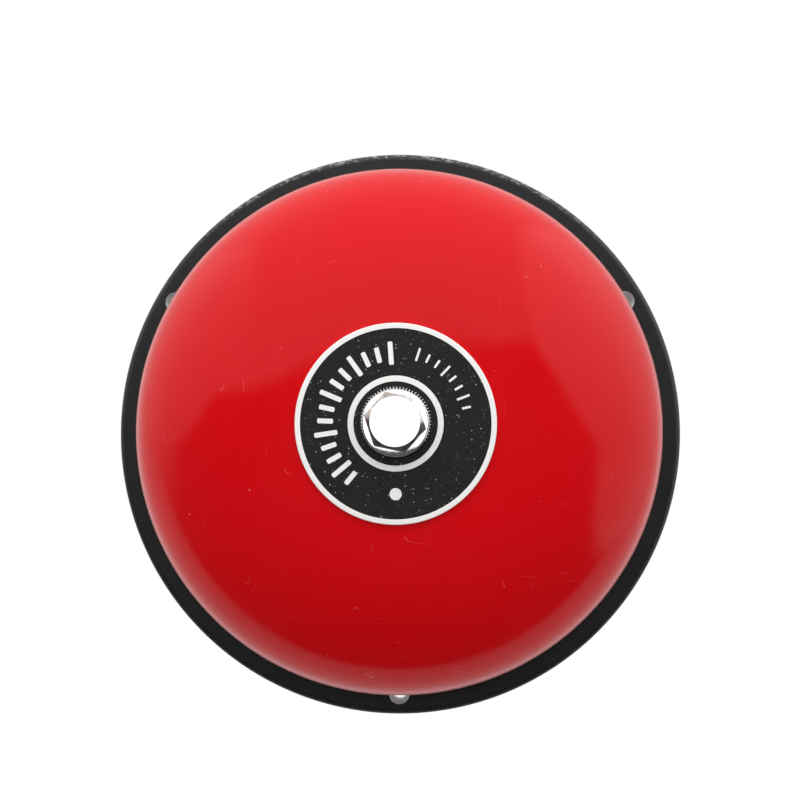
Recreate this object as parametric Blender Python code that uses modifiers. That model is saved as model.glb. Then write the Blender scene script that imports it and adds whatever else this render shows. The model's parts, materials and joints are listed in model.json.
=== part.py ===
"""Wall-mounted fire alarm bell with a six-inch gong and a motor-driven centrifugal hammer.

The bell is laid out face up: x to the right, y up the wall and z out of the wall. One empty
stands it upright, so that it faces -Y and its rear face lies on the plane Y = 0.
All sizes are in metres.
"""

import math
from collections import namedtuple

import bmesh
import bpy
from mathutils import Matrix, Vector

GAP = 0.0003  # between neighbouring pieces
SHAFT_CLEARANCE = 0.00005
OVERLAP = 0.0005  # how far a joined shape reaches into its neighbour
CUT_MARGIN = 0.001  # how far a cutter reaches past the surface it cuts
MERGE = 0.00001
FINE_STEPS = 64
MEDIUM_STEPS = 24
ROUND_STEPS = 18
SMALL_STEPS = 12
CORNER_STEPS = 4
GONG_OUTER_STEPS = 11
GONG_INNER_STEPS = 8

Screw = namedtuple("Screw", "head_radius head_height shank_radius length")
POST_SCREW = Screw(0.0026, 0.0018, 0.0013, 0.009)
CAP_SCREW = Screw(0.0026, 0.0017, 0.0012, 0.009)
BOARD_SCREW = Screw(0.0024, 0.0016, 0.0011, 0.0062)
TERMINAL_SCREW = Screw(0.0021, 0.0016, 0.0012, 0.0011)
SCREW_CLEARANCE = 0.0005
SCREW_SLOT_TURN = 30
PILOT_SPARE = 0.001  # a pilot hole runs on this far past its screw's tip

# Base
BASE_RADIUS = 0.082
BASE_DEPTH = 0.013
BASE_DRAFT = 0.0008
BASE_EDGE_ROUND = 0.0018
PLATE_THICKNESS = 0.0025
RIM_THICKNESS = 0.0026
CENTRE_BOSS_RADIUS = 0.019
RIB_ANGLES = (30, 90, 150, 210, 270, 330)
RIB_THICKNESS = 0.002
RIB_RECESS = 0.001
FIXING_ANGLES = (30, 150, 270)
FIXING_CIRCLE_RADIUS = 0.0754
FIXING_HOLE_RADIUS = 0.00225
FIXING_SINK_RADIUS = 0.0029
FIXING_SINK_SLOPE = 0.65
FIXING_BOSS_RADIUS = 0.0042

# Cable entry
CABLE_ENTRY = (-0.026, 0.045)
CABLE_HOLE_RADIUS = 0.007
GROMMET_BORE_RADIUS = 0.0045
GROMMET_LIP_RADIUS = 0.0092
GROMMET_LIP = 0.0015

# Gong, from the rim out to the seat
GONG_RADIUS = 0.075
GONG_RIM_HEIGHT = 0.0195
GONG_HEIGHT = 0.036
GONG_SEAT_RADIUS = 0.022
GONG_THICKNESS = 0.0015
GONG_HOLE_RADIUS = 0.0052

# Pieces clamped by the bolt
POST_RADIUS = 0.007
POST_FLANGE_RADIUS = 0.014
POST_FLANGE_THICKNESS = 0.002
POST_SCREW_CIRCLE = 0.0106
POST_SCREW_ANGLES = (90, 210, 330)
SEAT_WASHER_RADIUS = 0.009
SEAT_WASHER_THICKNESS = 0.0015
LABEL_RADIUS = 0.0268
LABEL_THICKNESS = 0.0008
LOCK_WASHER_RADIUS = 0.00935
LOCK_WASHER_TOOTH = 0.0009
LOCK_WASHER_TEETH = 36
LOCK_WASHER_THICKNESS = 0.0009
LOCK_WASHER_OFFSET = 0.0004  # a loose washer settles off centre
PLAIN_WASHER_RADIUS = 0.009
PLAIN_WASHER_THICKNESS = 0.0015
BOLT_RADIUS = 0.0047
BOLT_ENGAGEMENT = 0.022
BOLT_BORE_SPARE = 0.008
BOLT_FLATS = 0.01429
BOLT_HEAD_HEIGHT = 0.0061
BOLT_CHAMFER_RADIUS = 0.00665
BOLT_CHAMFER_ANGLE = 30
BOLT_HEAD_TURN = 48

# Motor, on an axis parallel to the bolt
MOTOR_X = 0.044
MOTOR_RADIUS = 0.0122
MOTOR_BACK = 0.0085
MOTOR_LENGTH = 0.0123
MOTOR_WALL = 0.0008
END_CAP_THICKNESS = 0.0013
SHAFT_RADIUS = 0.001
SHAFT_BACK = 0.0062
SHAFT_FRONT = 0.0304
BUSH_RADIUS = 0.0027
BUSH_BACK = 0.0196
BUSH_FRONT = 0.022
MAGNET_INNER_RADIUS = 0.0093
MAGNET_HALF_ANGLE = 74
MAGNET_SETBACK = 0.001
ARMATURE_RADIUS = 0.009
SHOE_INNER_RADIUS = 0.007
SHOE_HALF_ANGLE = 50
LAMINATION_HUB_RADIUS = 0.0024
LAMINATION_BACK = 0.0122
LAMINATION_FRONT = 0.0176
POLE_ANGLES = (90, 210, 330)
POLE_WIDTH = 0.0026
WINDING_INNER = 0.0029
WINDING_OUTER = 0.0058
WINDING_WIDTH = 0.006
WINDING_HEIGHT = 0.0084
WINDING_ROUND = 0.0008
COMMUTATOR_RADIUS = 0.0026
COMMUTATOR_BACK = 0.0086
COMMUTATOR_FRONT = 0.0102
BRUSH_LENGTH = 0.0038
BRUSH_HALF_WIDTH = 0.0008
TERMINAL_SPREAD = 0.0025
TERMINAL_X = 0.0353
TERMINAL_HALF_THICKNESS = 0.0006
TERMINAL_HALF_WIDTH = 0.001
CUSHION_WIDTH = 0.0032
CUSHION_HALF_ANGLE = 155

# Motor cup in the base and the cap over the motor
CUP_RADIUS = 0.017
CUP_BACK = 0.002
CUP_FLOOR = 0.004
COLLAR_RADIUS = 0.0142
COLLAR_FRONT = 0.016
CAP_RADIUS = 0.0158
CAP_WALL = 0.0013
CAP_FRONT = 0.022
CAP_ROOF = 0.0009
CAP_HOLE_RADIUS = 0.0036
CAP_LUG_REACH = 0.0195
CAP_LUG_RADIUS = 0.0036
CAP_LUG_THICKNESS = 0.0017
CAP_LUG_BOSS_RADIUS = 0.0045
LEAD_NOTCH_WIDTH = 0.0072
LEAD_GROOVE_DEPTH = 0.001

# Rotor arm and hammer, hanging straight down at rest
ARM_BACK = 0.0234
ARM_FRONT = 0.0299
ARM_PLATE = 0.0008
ARM_HUB_RADIUS = 0.0038
ARM_TAIL_RADIUS = 0.004
ARM_HEAD_RADIUS = 0.0052
ARM_HEAD_CENTRE = -0.013
COUNTERWEIGHT_REACH = 0.0095
COUNTERWEIGHT_RADIUS = 0.0036
PIN_REACH = 0.014
PIN_RADIUS = 0.001
PIN_HEAD_RADIUS = 0.0018
PIN_HEAD_THICKNESS = 0.0007
PIN_BACK = 0.0223
PIN_HOLE_RADIUS = 0.0011
PIN_GROOVE_RADIUS = 0.0007
PIN_CLIP_THICKNESS = 0.0004
PIN_CLIP_SLACK = 0.0001
PIN_CLIP_HALF_ANGLE = 135
STOP_RADIUS = 0.0008
STOP_REACH = 0.0036
STOP_ANGLE = 77
HAMMER_EYE_RADIUS = 0.0026
HAMMER_SHANK_WIDTH = 0.0044
HAMMER_REACH = 0.0093
HAMMER_HEAD_RADIUS = 0.0046
HAMMER_HEAD_ROUND = 0.0015
HAMMER_SHANK_RELIEF = 0.0002

# Circuit board
BOARD_LEFT = -0.06
BOARD_RIGHT = -0.026
BOARD_HALF_HEIGHT = 0.022
BOARD_BACK = 0.017
BOARD_THICKNESS = 0.0016
BOARD_SCREWS = {"board_screw_upper": (-0.056, 0.0185), "board_screw_lower": (-0.03, -0.0185)}
BOARD_CORNER = 0.0015
STANDOFF_RADIUS = 0.0032
BLOCK_CENTRE = (-0.043, 0.012)
BLOCK_SIZE = (0.015, 0.01, 0.011)
BLOCK_EDGE_ROUND = 0.0005
BLOCK_POLE_SPACING = 0.0075
WELL_RADIUS = 0.0025
WELL_FLOOR = 0.005
WELL_SCREW_LIFT = 0.0009
WIRE_ENTRY_HALF_WIDTH = 0.0018
WIRE_ENTRY_HEIGHTS = (0.0013, 0.0042)

# Pieces on the board: places in x and y, then height of the middle above the board if it lies on its side
CAPACITOR_PLACE = (-0.032, 0.002)
CAPACITOR_RADIUS = 0.0031
CAPACITOR_HEIGHT = 0.0112
CAPACITOR_GROOVE = 0.0003
CAPACITOR_GROOVE_HEIGHTS = (0.001, 0.0014, 0.0018)
CHOKE_PLACE = (-0.0535, -0.015)
CHOKE_RADIUS = 0.004
CHOKE_WAIST_RADIUS = 0.0032
CHOKE_HEIGHT = 0.009
CHOKE_FLANGE = 0.0012
VARISTOR_PLACE = (-0.0435, -0.0165, 0.0045)
VARISTOR_RADIUS = 0.0035
VARISTOR_FACE_RADIUS = 0.0027
VARISTOR_EDGE_HALF = 0.0006
VARISTOR_FACE_HALF = 0.0015
VARISTOR_HALF_THICKNESS = 0.0017
DIODE_PLACE = (-0.0435, -0.004, 0.0017)
DIODE_RADIUS = 0.00135
DIODE_HALF_LENGTH = 0.0026
DIODE_WIRE_RADIUS = 0.0004
DIODE_WIRE_END = 0.0045

# Leads from the board to the motor, each through its own points
LEAD_RADIUS = 0.00065
LEAD_STEP = 0.003
LEAD_HEIGHT = 0.0143
LEAD_RED_ROUTE = (
    (-0.0305, -0.008, 0.0197),
    (-0.026, -0.0086, 0.0195),
    (-0.0225, -0.0105, 0.0168),
    (-0.017, -0.0155, LEAD_HEIGHT),
    (-0.008, -0.0205, LEAD_HEIGHT),
    (0.002, -0.0223, LEAD_HEIGHT),
    (0.012, -0.0205, LEAD_HEIGHT),
    (0.02, -0.013, LEAD_HEIGHT),
    (0.0242, -0.005, LEAD_HEIGHT),
    (0.0272, -0.0002, LEAD_HEIGHT),
    (0.0298, 0.0014, 0.0132),
    (0.0302, 0.0017, 0.01),
    (0.0304, 0.0019, 0.0068),
    (0.0318, 0.0023, 0.0054),
    (0.0344, 0.0025, 0.0054),
)
LEAD_BLACK_ROUTE = (
    (-0.0305, -0.0125, 0.0197),
    (-0.026, -0.0129, 0.0195),
    (-0.0228, -0.014, 0.0168),
    (-0.0185, -0.0178, LEAD_HEIGHT),
    (-0.009, -0.023, LEAD_HEIGHT),
    (0.002, -0.0249, LEAD_HEIGHT),
    (0.0135, -0.0228, LEAD_HEIGHT),
    (0.0223, -0.015, LEAD_HEIGHT),
    (0.0248, -0.0068, LEAD_HEIGHT),
    (0.0272, -0.0026, LEAD_HEIGHT),
    (0.0298, -0.0019, 0.0132),
    (0.0302, -0.0017, 0.01),
    (0.0304, -0.0019, 0.0068),
    (0.0318, -0.0023, 0.0054),
    (0.0344, -0.0025, 0.0054),
)
LEAD_CLIP_CENTRE = (0.002, -0.0236)
LEAD_CLIP_WIDTH = 0.005
LEAD_CLIP_HALF_SPAN = 0.0025
LEAD_CLIP_FOOT = 0.003
LEAD_CLIP_WALL = 0.0008

# Heights of the clamped stack, from the gong's seat outwards
GONG_SEAT_HEIGHT = GONG_RIM_HEIGHT + GONG_HEIGHT
SEAT_WASHER_FRONT = GONG_SEAT_HEIGHT - GONG_THICKNESS - GAP
POST_FRONT = SEAT_WASHER_FRONT - SEAT_WASHER_THICKNESS - GAP
POST_BACK = BASE_DEPTH + GAP
LABEL_BACK = GONG_SEAT_HEIGHT + GAP
LOCK_WASHER_BACK = LABEL_BACK + LABEL_THICKNESS + GAP
PLAIN_WASHER_BACK = LOCK_WASHER_BACK + LOCK_WASHER_THICKNESS + GAP
BOLT_HEAD_BACK = PLAIN_WASHER_BACK + PLAIN_WASHER_THICKNESS + GAP

MOTOR_FRONT = MOTOR_BACK + MOTOR_LENGTH
END_CAP_BACK = MOTOR_BACK - GAP - END_CAP_THICKNESS
PLATE_BACK = BASE_DEPTH - PLATE_THICKNESS
POST_FLANGE_FRONT = POST_BACK + POST_FLANGE_THICKNESS
CAP_SKIRT_BACK = BASE_DEPTH + GAP
CAP_LUG_FRONT = CAP_SKIRT_BACK + CAP_LUG_THICKNESS
BOARD_FRONT = BOARD_BACK + BOARD_THICKNESS
BOARD_SEAT = BOARD_FRONT + GAP
HAMMER_BACK = ARM_BACK + ARM_PLATE + GAP
HAMMER_FRONT = ARM_FRONT - ARM_PLATE - GAP

# Finish name: colour, roughness, metallic
FINISHES = {
    "black_moulding": ((0.022, 0.022, 0.023), 0.55, 0.0),
    "red_gloss": ((0.6, 0.008, 0.012), 0.12, 0.0),
    "label_black": ((0.018, 0.018, 0.019), 0.35, 0.0),
    "chrome": ((0.82, 0.82, 0.83), 0.08, 1.0),
    "zinc_plate": ((0.62, 0.62, 0.6), 0.35, 1.0),
    "bright_steel": ((0.56, 0.56, 0.57), 0.28, 1.0),
    "zinc_casting": ((0.5, 0.5, 0.5), 0.45, 1.0),
    "brass": ((0.72, 0.52, 0.22), 0.3, 1.0),
    "bronze": ((0.5, 0.3, 0.14), 0.5, 1.0),
    "copper": ((0.72, 0.3, 0.14), 0.35, 1.0),
    "white_nylon": ((0.75, 0.74, 0.7), 0.5, 0.0),
    "grey_nylon": ((0.3, 0.3, 0.31), 0.5, 0.0),
    "black_rubber": ((0.02, 0.02, 0.02), 0.8, 0.0),
    "ferrite": ((0.06, 0.06, 0.065), 0.6, 0.0),
    "carbon": ((0.04, 0.04, 0.04), 0.7, 0.0),
    "board_green": ((0.02, 0.16, 0.06), 0.4, 0.0),
    "terminal_green": ((0.03, 0.3, 0.12), 0.45, 0.0),
    "capacitor_sleeve": ((0.02, 0.03, 0.09), 0.35, 0.0),
    "varistor_blue": ((0.03, 0.12, 0.4), 0.45, 0.0),
    "lead_red": ((0.5, 0.02, 0.02), 0.45, 0.0),
    "lead_black": ((0.02, 0.02, 0.02), 0.45, 0.0),
}


def clear_scene():
    """Removes whatever objects the file holds."""
    for obj in list(bpy.data.objects):
        bpy.data.objects.remove(obj, do_unlink=True)


def new_collection(name):
    """Adds a collection to the scene."""
    collection = bpy.data.collections.new(name)
    bpy.context.scene.collection.children.link(collection)
    return collection


def new_axis(name, parent, location):
    """Adds an empty that pieces are parented to."""
    axis = bpy.data.objects.new(name, None)
    axis.parent = parent
    axis.location = location
    axis.empty_display_size = BASE_DEPTH
    PARTS.objects.link(axis)
    return axis


def part_material(part, finish):
    """Makes the material of one piece from a named finish."""
    colour, roughness, metallic = FINISHES[finish]
    material = bpy.data.materials.new(f"{part}_{finish}")
    material.use_nodes = True
    shader = material.node_tree.nodes["Principled BSDF"]
    shader.inputs["Base Color"].default_value = (*colour, 1.0)
    shader.inputs["Roughness"].default_value = roughness
    shader.inputs["Metallic"].default_value = metallic
    material.diffuse_color = (*colour, 1.0)
    return material


def add_part(name, data, finish, parent, location=(0.0, 0.0, 0.0), turn=0.0):
    """Places a mesh or curve as a named piece; turn is in degrees about its own z."""
    part = bpy.data.objects.new(name, data)
    part.parent = parent
    part.location = location
    part.rotation_euler.z = math.radians(turn)
    data.materials.append(part_material(name, finish))
    PARTS.objects.link(part)
    return part


def add_helper(name, data, parent, location=(0.0, 0.0, 0.0), turn=0.0):
    """Places a mesh that only cuts or joins another one."""
    helper = bpy.data.objects.new(name, data)
    helper.parent = parent
    helper.location = location
    helper.rotation_euler.z = math.radians(turn)
    helper.hide_render = True
    helper.display_type = "WIRE"
    CUTTERS.objects.link(helper)
    return helper


def combine(part, helper, operation):
    """Adds a Boolean modifier to a piece."""
    boolean = part.modifiers.new(helper.name, "BOOLEAN")
    boolean.operation = operation
    boolean.solver = "EXACT"
    boolean.object = helper


def shade_round(mesh):
    """Shades a mesh smooth between its hard edges."""
    mesh.shade_smooth()
    mesh.set_sharp_from_angle(angle=math.radians(35))
    return mesh


def evaluated_mesh(name, data, modify=None):
    """Reads a curve or a modified mesh as a plain welded mesh."""
    source = bpy.data.objects.new(name, data)
    CUTTERS.objects.link(source)
    if modify:
        modify(source)
    graph = bpy.context.evaluated_depsgraph_get()
    mesh = bpy.data.meshes.new_from_object(source.evaluated_get(graph))
    bpy.data.objects.remove(source)
    welded = bmesh.new()
    welded.from_mesh(mesh)
    bmesh.ops.remove_doubles(welded, verts=welded.verts, dist=MERGE)
    welded.to_mesh(mesh)
    welded.free()
    mesh.name = name
    return shade_round(mesh)


def flatten_ends(mesh):
    """Makes each flat end of a turned mesh one face, with no point at its middle."""
    shape = bmesh.new()
    shape.from_mesh(mesh)
    for point in [vert for vert in shape.verts if vert.co.xy.length < MERGE]:
        around = [edge.other_vert(point) for edge in point.link_edges]
        if all(abs(vert.co.z - point.co.z) < MERGE for vert in around):
            bmesh.ops.dissolve_verts(shape, verts=[point])
    shape.to_mesh(mesh)
    shape.free()
    return mesh


def turned(name, profile, ring=False, steps=MEDIUM_STEPS):
    """Turns (radius, height) points about z. The profile runs down its outer side."""
    outline = bmesh.new()
    points = [outline.verts.new((radius, 0.0, height)) for radius, height in profile]
    for start, end in zip(points, points[1:]):
        outline.edges.new((start, end))
    if ring:
        outline.edges.new((points[-1], points[0]))
    mesh = bpy.data.meshes.new(name)
    outline.to_mesh(mesh)
    outline.free()

    def add_screw(source):
        screw = source.modifiers.new("turn", "SCREW")
        screw.steps = steps
        screw.render_steps = steps
        screw.use_merge_vertices = True
        screw.merge_threshold = MERGE

    return flatten_ends(evaluated_mesh(name, mesh, add_screw))


def tube(name, outer, inner, back, front, steps=MEDIUM_STEPS):
    """A plain ring between two radii and two heights."""
    profile = [(inner, front), (outer, front), (outer, back), (inner, back)]
    return turned(name, profile, ring=True, steps=steps)


def discs(name, cylinders, steps=MEDIUM_STEPS):
    """One mesh of separate cylinders, each (x, y, radius, back, front)."""
    shape = bmesh.new()
    for x, y, radius, back, front in cylinders:
        made = bmesh.ops.create_cone(
            shape, cap_ends=True, segments=steps, radius1=radius, radius2=radius, depth=front - back
        )
        bmesh.ops.translate(shape, verts=made["verts"], vec=(x, y, (front + back) / 2))
    mesh = bpy.data.meshes.new(name)
    shape.to_mesh(mesh)
    shape.free()
    return shade_round(mesh)


def block(name, low, high):
    """A box between two corners."""
    shape = bmesh.new()
    made = bmesh.ops.create_cube(shape, size=1.0)
    size = Vector(high) - Vector(low)
    bmesh.ops.scale(shape, verts=made["verts"], vec=size)
    bmesh.ops.translate(shape, verts=made["verts"], vec=(Vector(high) + Vector(low)) / 2)
    mesh = bpy.data.meshes.new(name)
    shape.to_mesh(mesh)
    shape.free()
    return mesh


def rounded(part, width, segments=2):
    """Rounds a box's edges."""
    bevel = part.modifiers.new("rounded_edges", "BEVEL")
    bevel.width = width
    bevel.segments = segments
    bevel.limit_method = "ANGLE"


def arc(x, y, radius, start, end, steps):
    """Points along a circle, from one angle in degrees to another."""
    angles = [math.radians(start + (end - start) * step / steps) for step in range(steps + 1)]
    return [(x + radius * math.cos(angle), y + radius * math.sin(angle)) for angle in angles]


def circle(x, y, radius, steps=SMALL_STEPS):
    """A closed circle's points."""
    return arc(x, y, radius, 0, 360, steps)[:-1]


def flat_outline(name, outlines, thickness):
    """A flat plate in the middle of its thickness: the first outline, less the others."""
    curve = bpy.data.curves.new(name, "CURVE")
    curve.dimensions = "2D"
    curve.fill_mode = "BOTH"
    curve.extrude = thickness / 2
    for outline in outlines:
        spline = curve.splines.new("POLY")
        spline.points.add(len(outline) - 1)
        for point, (x, y) in zip(spline.points, outline):
            point.co = (x, y, 0.0, 1.0)
        spline.use_cyclic_u = True
    return curve


def plate_mesh(name, outlines, back, front):
    """A flat plate between two heights, as a mesh that Booleans can use."""
    mesh = evaluated_mesh(name, flat_outline(name, outlines, front - back))
    for vertex in mesh.vertices:
        vertex.co.z += (front + back) / 2
    return mesh


def sector(inner, outer, centre_angle, half_angle, steps=SMALL_STEPS):
    """The outline of part of a ring."""
    low = centre_angle - half_angle
    high = centre_angle + half_angle
    return arc(0, 0, outer, low, high, steps) + arc(0, 0, inner, high, low, steps)


def smooth_route(points, step):
    """Points about one step apart on a smooth curve through all the given points."""
    route = [Vector(point) for point in points]
    padded = [2 * route[0] - route[1], *route, 2 * route[-1] - route[-2]]
    smooth = []
    for before, start, end, after in zip(padded, padded[1:], padded[2:], padded[3:]):
        count = max(1, round((end - start).length / step))
        for index in range(count):
            t = index / count
            bend = 2 * before - 5 * start + 4 * end - after
            twist = 3 * start - before - 3 * end + after
            smooth.append(start + ((end - before) * t + bend * t**2 + twist * t**3) / 2)
    return [*smooth, route[-1]]


def wire(name, points, radius):
    """A round wire through its points."""
    curve = bpy.data.curves.new(name, "CURVE")
    curve.dimensions = "3D"
    curve.bevel_depth = radius
    curve.bevel_resolution = 2
    curve.use_fill_caps = True
    spline = curve.splines.new("POLY")
    spline.points.add(len(points) - 1)
    for point, place in zip(spline.points, points):
        point.co = (*place, 1.0)
    return curve


def add_screw(name, place, seat, size):
    """A pan-head screw with a slot, its head resting just above seat."""
    back = seat + GAP
    front = back + size.head_height
    tip = back - size.length
    profile = [
        (0.0, front),
        (size.head_radius * 0.6, front - size.head_height * 0.08),
        (size.head_radius * 0.9, front - size.head_height * 0.35),
        (size.head_radius, back + size.head_height * 0.25),
        (size.head_radius, back),
        (size.shank_radius, back),
        (size.shank_radius, tip + size.shank_radius),
        (0.0, tip),
    ]
    mesh = turned(name, profile, steps=SMALL_STEPS)
    screw = add_part(name, mesh, "zinc_plate", WALL, (*place, 0.0))
    half_slot = size.head_radius * 0.14
    slot_floor = front - size.head_height * 0.45
    low = (-size.head_radius - CUT_MARGIN, -half_slot, slot_floor)
    high = (size.head_radius + CUT_MARGIN, half_slot, front + CUT_MARGIN)
    slot_mesh = block(f"{name}_slot", low, high)
    slot = add_helper(f"{name}_slot", slot_mesh, WALL, (*place, 0.0), turn=SCREW_SLOT_TURN)
    combine(screw, slot, "DIFFERENCE")


def pilot(place, seat, size):
    """The cylinder of the blind hole that a screw goes into."""
    floor = seat + GAP - size.length - PILOT_SPARE
    return (*place, size.shank_radius + GAP, floor, seat)


def lead_notch(name, reach, back):
    """The cutter of the notch through which the leads drop down beside the motor."""
    low = (MOTOR_X - reach, -LEAD_NOTCH_WIDTH / 2, back)
    high = (MOTOR_X - MOTOR_RADIUS + GAP, LEAD_NOTCH_WIDTH / 2, COLLAR_FRONT + 2 * GAP)
    return add_helper(name, block(name, low, high), WALL)


def polar(radius, angle):
    """A point at a distance and an angle in degrees."""
    return radius * math.cos(math.radians(angle)), radius * math.sin(math.radians(angle))


def base_ribs():
    """The six ribs behind the base's front plate, from the solid centre to the rim."""
    inner = CENTRE_BOSS_RADIUS - OVERLAP
    outer = BASE_RADIUS - RIM_THICKNESS / 2
    depth = PLATE_BACK + OVERLAP - RIB_RECESS
    ribs = bmesh.new()
    for angle in RIB_ANGLES:
        rib = bmesh.ops.create_cube(ribs, size=1.0)["verts"]
        bmesh.ops.scale(ribs, verts=rib, vec=(outer - inner, RIB_THICKNESS, depth))
        bmesh.ops.translate(ribs, verts=rib, vec=((outer + inner) / 2, 0, RIB_RECESS + depth / 2))
        turn = Matrix.Rotation(math.radians(angle), 3, "Z")
        bmesh.ops.rotate(ribs, verts=rib, cent=(0, 0, 0), matrix=turn)
    mesh = bpy.data.meshes.new("base_ribs")
    ribs.to_mesh(mesh)
    ribs.free()
    return mesh


def make_base():
    """The moulded base: rim, front plate, solid centre, ribs, bosses and motor cup."""
    front_radius = BASE_RADIUS - BASE_DRAFT
    corner = (front_radius - BASE_EDGE_ROUND, BASE_DEPTH - BASE_EDGE_ROUND)
    profile = [
        (0.0, BASE_DEPTH),
        *arc(*corner, BASE_EDGE_ROUND, 90, 0, CORNER_STEPS),
        (BASE_RADIUS, 0.0),
        (BASE_RADIUS - RIM_THICKNESS, 0.0),
        (front_radius - RIM_THICKNESS, PLATE_BACK),
        (CENTRE_BOSS_RADIUS, PLATE_BACK),
        (CENTRE_BOSS_RADIUS, 0.0),
        (0.0, 0.0),
    ]
    base = add_part("base", turned("base", profile, steps=FINE_STEPS), "black_moulding", WALL)
    combine(base, add_helper("base_ribs", base_ribs(), WALL), "UNION")

    mid_plate = PLATE_BACK + PLATE_THICKNESS / 2
    fixings = [polar(FIXING_CIRCLE_RADIUS, angle) for angle in FIXING_ANGLES]
    lugs = [(MOTOR_X, side * CAP_LUG_REACH) for side in (-1, 1)]
    standoff_front = BOARD_BACK - GAP
    bosses = [(*place, FIXING_BOSS_RADIUS, 0.0, mid_plate) for place in fixings]
    bosses += [(*place, CAP_LUG_BOSS_RADIUS, CUP_FLOOR, mid_plate) for place in lugs]
    bosses += [
        (*place, STANDOFF_RADIUS, mid_plate, standoff_front) for place in BOARD_SCREWS.values()
    ]
    combine(base, add_helper("base_bosses", discs("base_bosses", bosses), WALL), "UNION")

    cup_profile = [
        (0.0, COLLAR_FRONT),
        (COLLAR_RADIUS, COLLAR_FRONT),
        (COLLAR_RADIUS, mid_plate),
        (CUP_RADIUS, mid_plate),
        (CUP_RADIUS, CUP_BACK),
        (0.0, CUP_BACK),
    ]
    cup = add_helper("motor_cup", turned("motor_cup", cup_profile), MOTOR_AXIS)
    combine(base, cup, "UNION")
    bore = [(0, 0, MOTOR_RADIUS + GAP, CUP_FLOOR, COLLAR_FRONT + CUT_MARGIN)]
    combine(base, add_helper("motor_bore", discs("motor_bore", bore), MOTOR_AXIS), "DIFFERENCE")

    sink_front = BASE_DEPTH + CUT_MARGIN
    sink_depth = (FIXING_SINK_RADIUS - FIXING_HOLE_RADIUS) / FIXING_SINK_SLOPE
    hole_profile = [
        (0.0, sink_front),
        (FIXING_SINK_RADIUS + CUT_MARGIN * FIXING_SINK_SLOPE, sink_front),
        (FIXING_HOLE_RADIUS, BASE_DEPTH - sink_depth),
        (FIXING_HOLE_RADIUS, -CUT_MARGIN),
        (0.0, -CUT_MARGIN),
    ]
    hole_mesh = turned("fixing_hole", hole_profile, steps=ROUND_STEPS)
    for number, place in enumerate(fixings, 1):
        hole = add_helper(f"fixing_hole_{number}", hole_mesh, WALL, (*place, 0.0))
        combine(base, hole, "DIFFERENCE")

    post_places = [polar(POST_SCREW_CIRCLE, angle) for angle in POST_SCREW_ANGLES]
    pilots = [pilot(place, POST_FLANGE_FRONT, POST_SCREW) for place in post_places]
    pilots += [pilot(place, CAP_LUG_FRONT, CAP_SCREW) for place in lugs]
    pilots += [pilot(place, BOARD_FRONT, BOARD_SCREW) for place in BOARD_SCREWS.values()]
    pilot_mesh = discs("screw_pilots", pilots, steps=SMALL_STEPS)
    combine(base, add_helper("screw_pilots", pilot_mesh, WALL), "DIFFERENCE")

    entry_front = BASE_DEPTH + CUT_MARGIN
    entry = [(*CABLE_ENTRY, CABLE_HOLE_RADIUS, PLATE_BACK - CUT_MARGIN, entry_front)]
    combine(base, add_helper("cable_hole", discs("cable_hole", entry), WALL), "DIFFERENCE")
    notch = lead_notch("base_lead_notch", COLLAR_RADIUS + LEAD_GROOVE_DEPTH, CUP_FLOOR + GAP)
    combine(base, notch, "DIFFERENCE")


def make_cable_grommet():
    """The rubber grommet, whose groove holds the edge of the base's cable hole."""
    lip_back = PLATE_BACK - GAP - GROMMET_LIP
    lip_front = BASE_DEPTH + GAP + GROMMET_LIP
    corner = GROMMET_LIP * 0.4
    neck = CABLE_HOLE_RADIUS - GAP
    profile = [
        (GROMMET_BORE_RADIUS, lip_front),
        (GROMMET_LIP_RADIUS - corner, lip_front),
        (GROMMET_LIP_RADIUS, lip_front - corner),
        (GROMMET_LIP_RADIUS, BASE_DEPTH + GAP),
        (neck, BASE_DEPTH + GAP),
        (neck, PLATE_BACK - GAP),
        (GROMMET_LIP_RADIUS, PLATE_BACK - GAP),
        (GROMMET_LIP_RADIUS, lip_back + corner),
        (GROMMET_LIP_RADIUS - corner, lip_back),
        (GROMMET_BORE_RADIUS, lip_back),
    ]
    mesh = turned("cable_grommet", profile, ring=True)
    add_part("cable_grommet", mesh, "black_rubber", WALL, (*CABLE_ENTRY, 0.0))


def gong_curve(shrink, steps):
    """Points of the dome, from its seat down to its rim."""
    points = []
    for step in range(steps + 1):
        turn = math.radians(90 * step / steps)
        radius = GONG_SEAT_RADIUS + (GONG_RADIUS - GONG_SEAT_RADIUS - shrink) * math.sin(turn)
        points.append((radius, GONG_RIM_HEIGHT + (GONG_HEIGHT - shrink) * math.cos(turn)))
    return points


def make_gong():
    """The pressed steel gong: a flat seat that runs into an elliptical dome."""
    inner = gong_curve(GONG_THICKNESS, GONG_INNER_STEPS)
    profile = [
        (GONG_HOLE_RADIUS, GONG_SEAT_HEIGHT),
        *gong_curve(0.0, GONG_OUTER_STEPS),
        *reversed(inner),
        (GONG_HOLE_RADIUS, GONG_SEAT_HEIGHT - GONG_THICKNESS),
    ]
    mesh = turned("gong", profile, ring=True, steps=FINE_STEPS)
    add_part("gong", mesh, "red_gloss", WALL)


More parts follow.
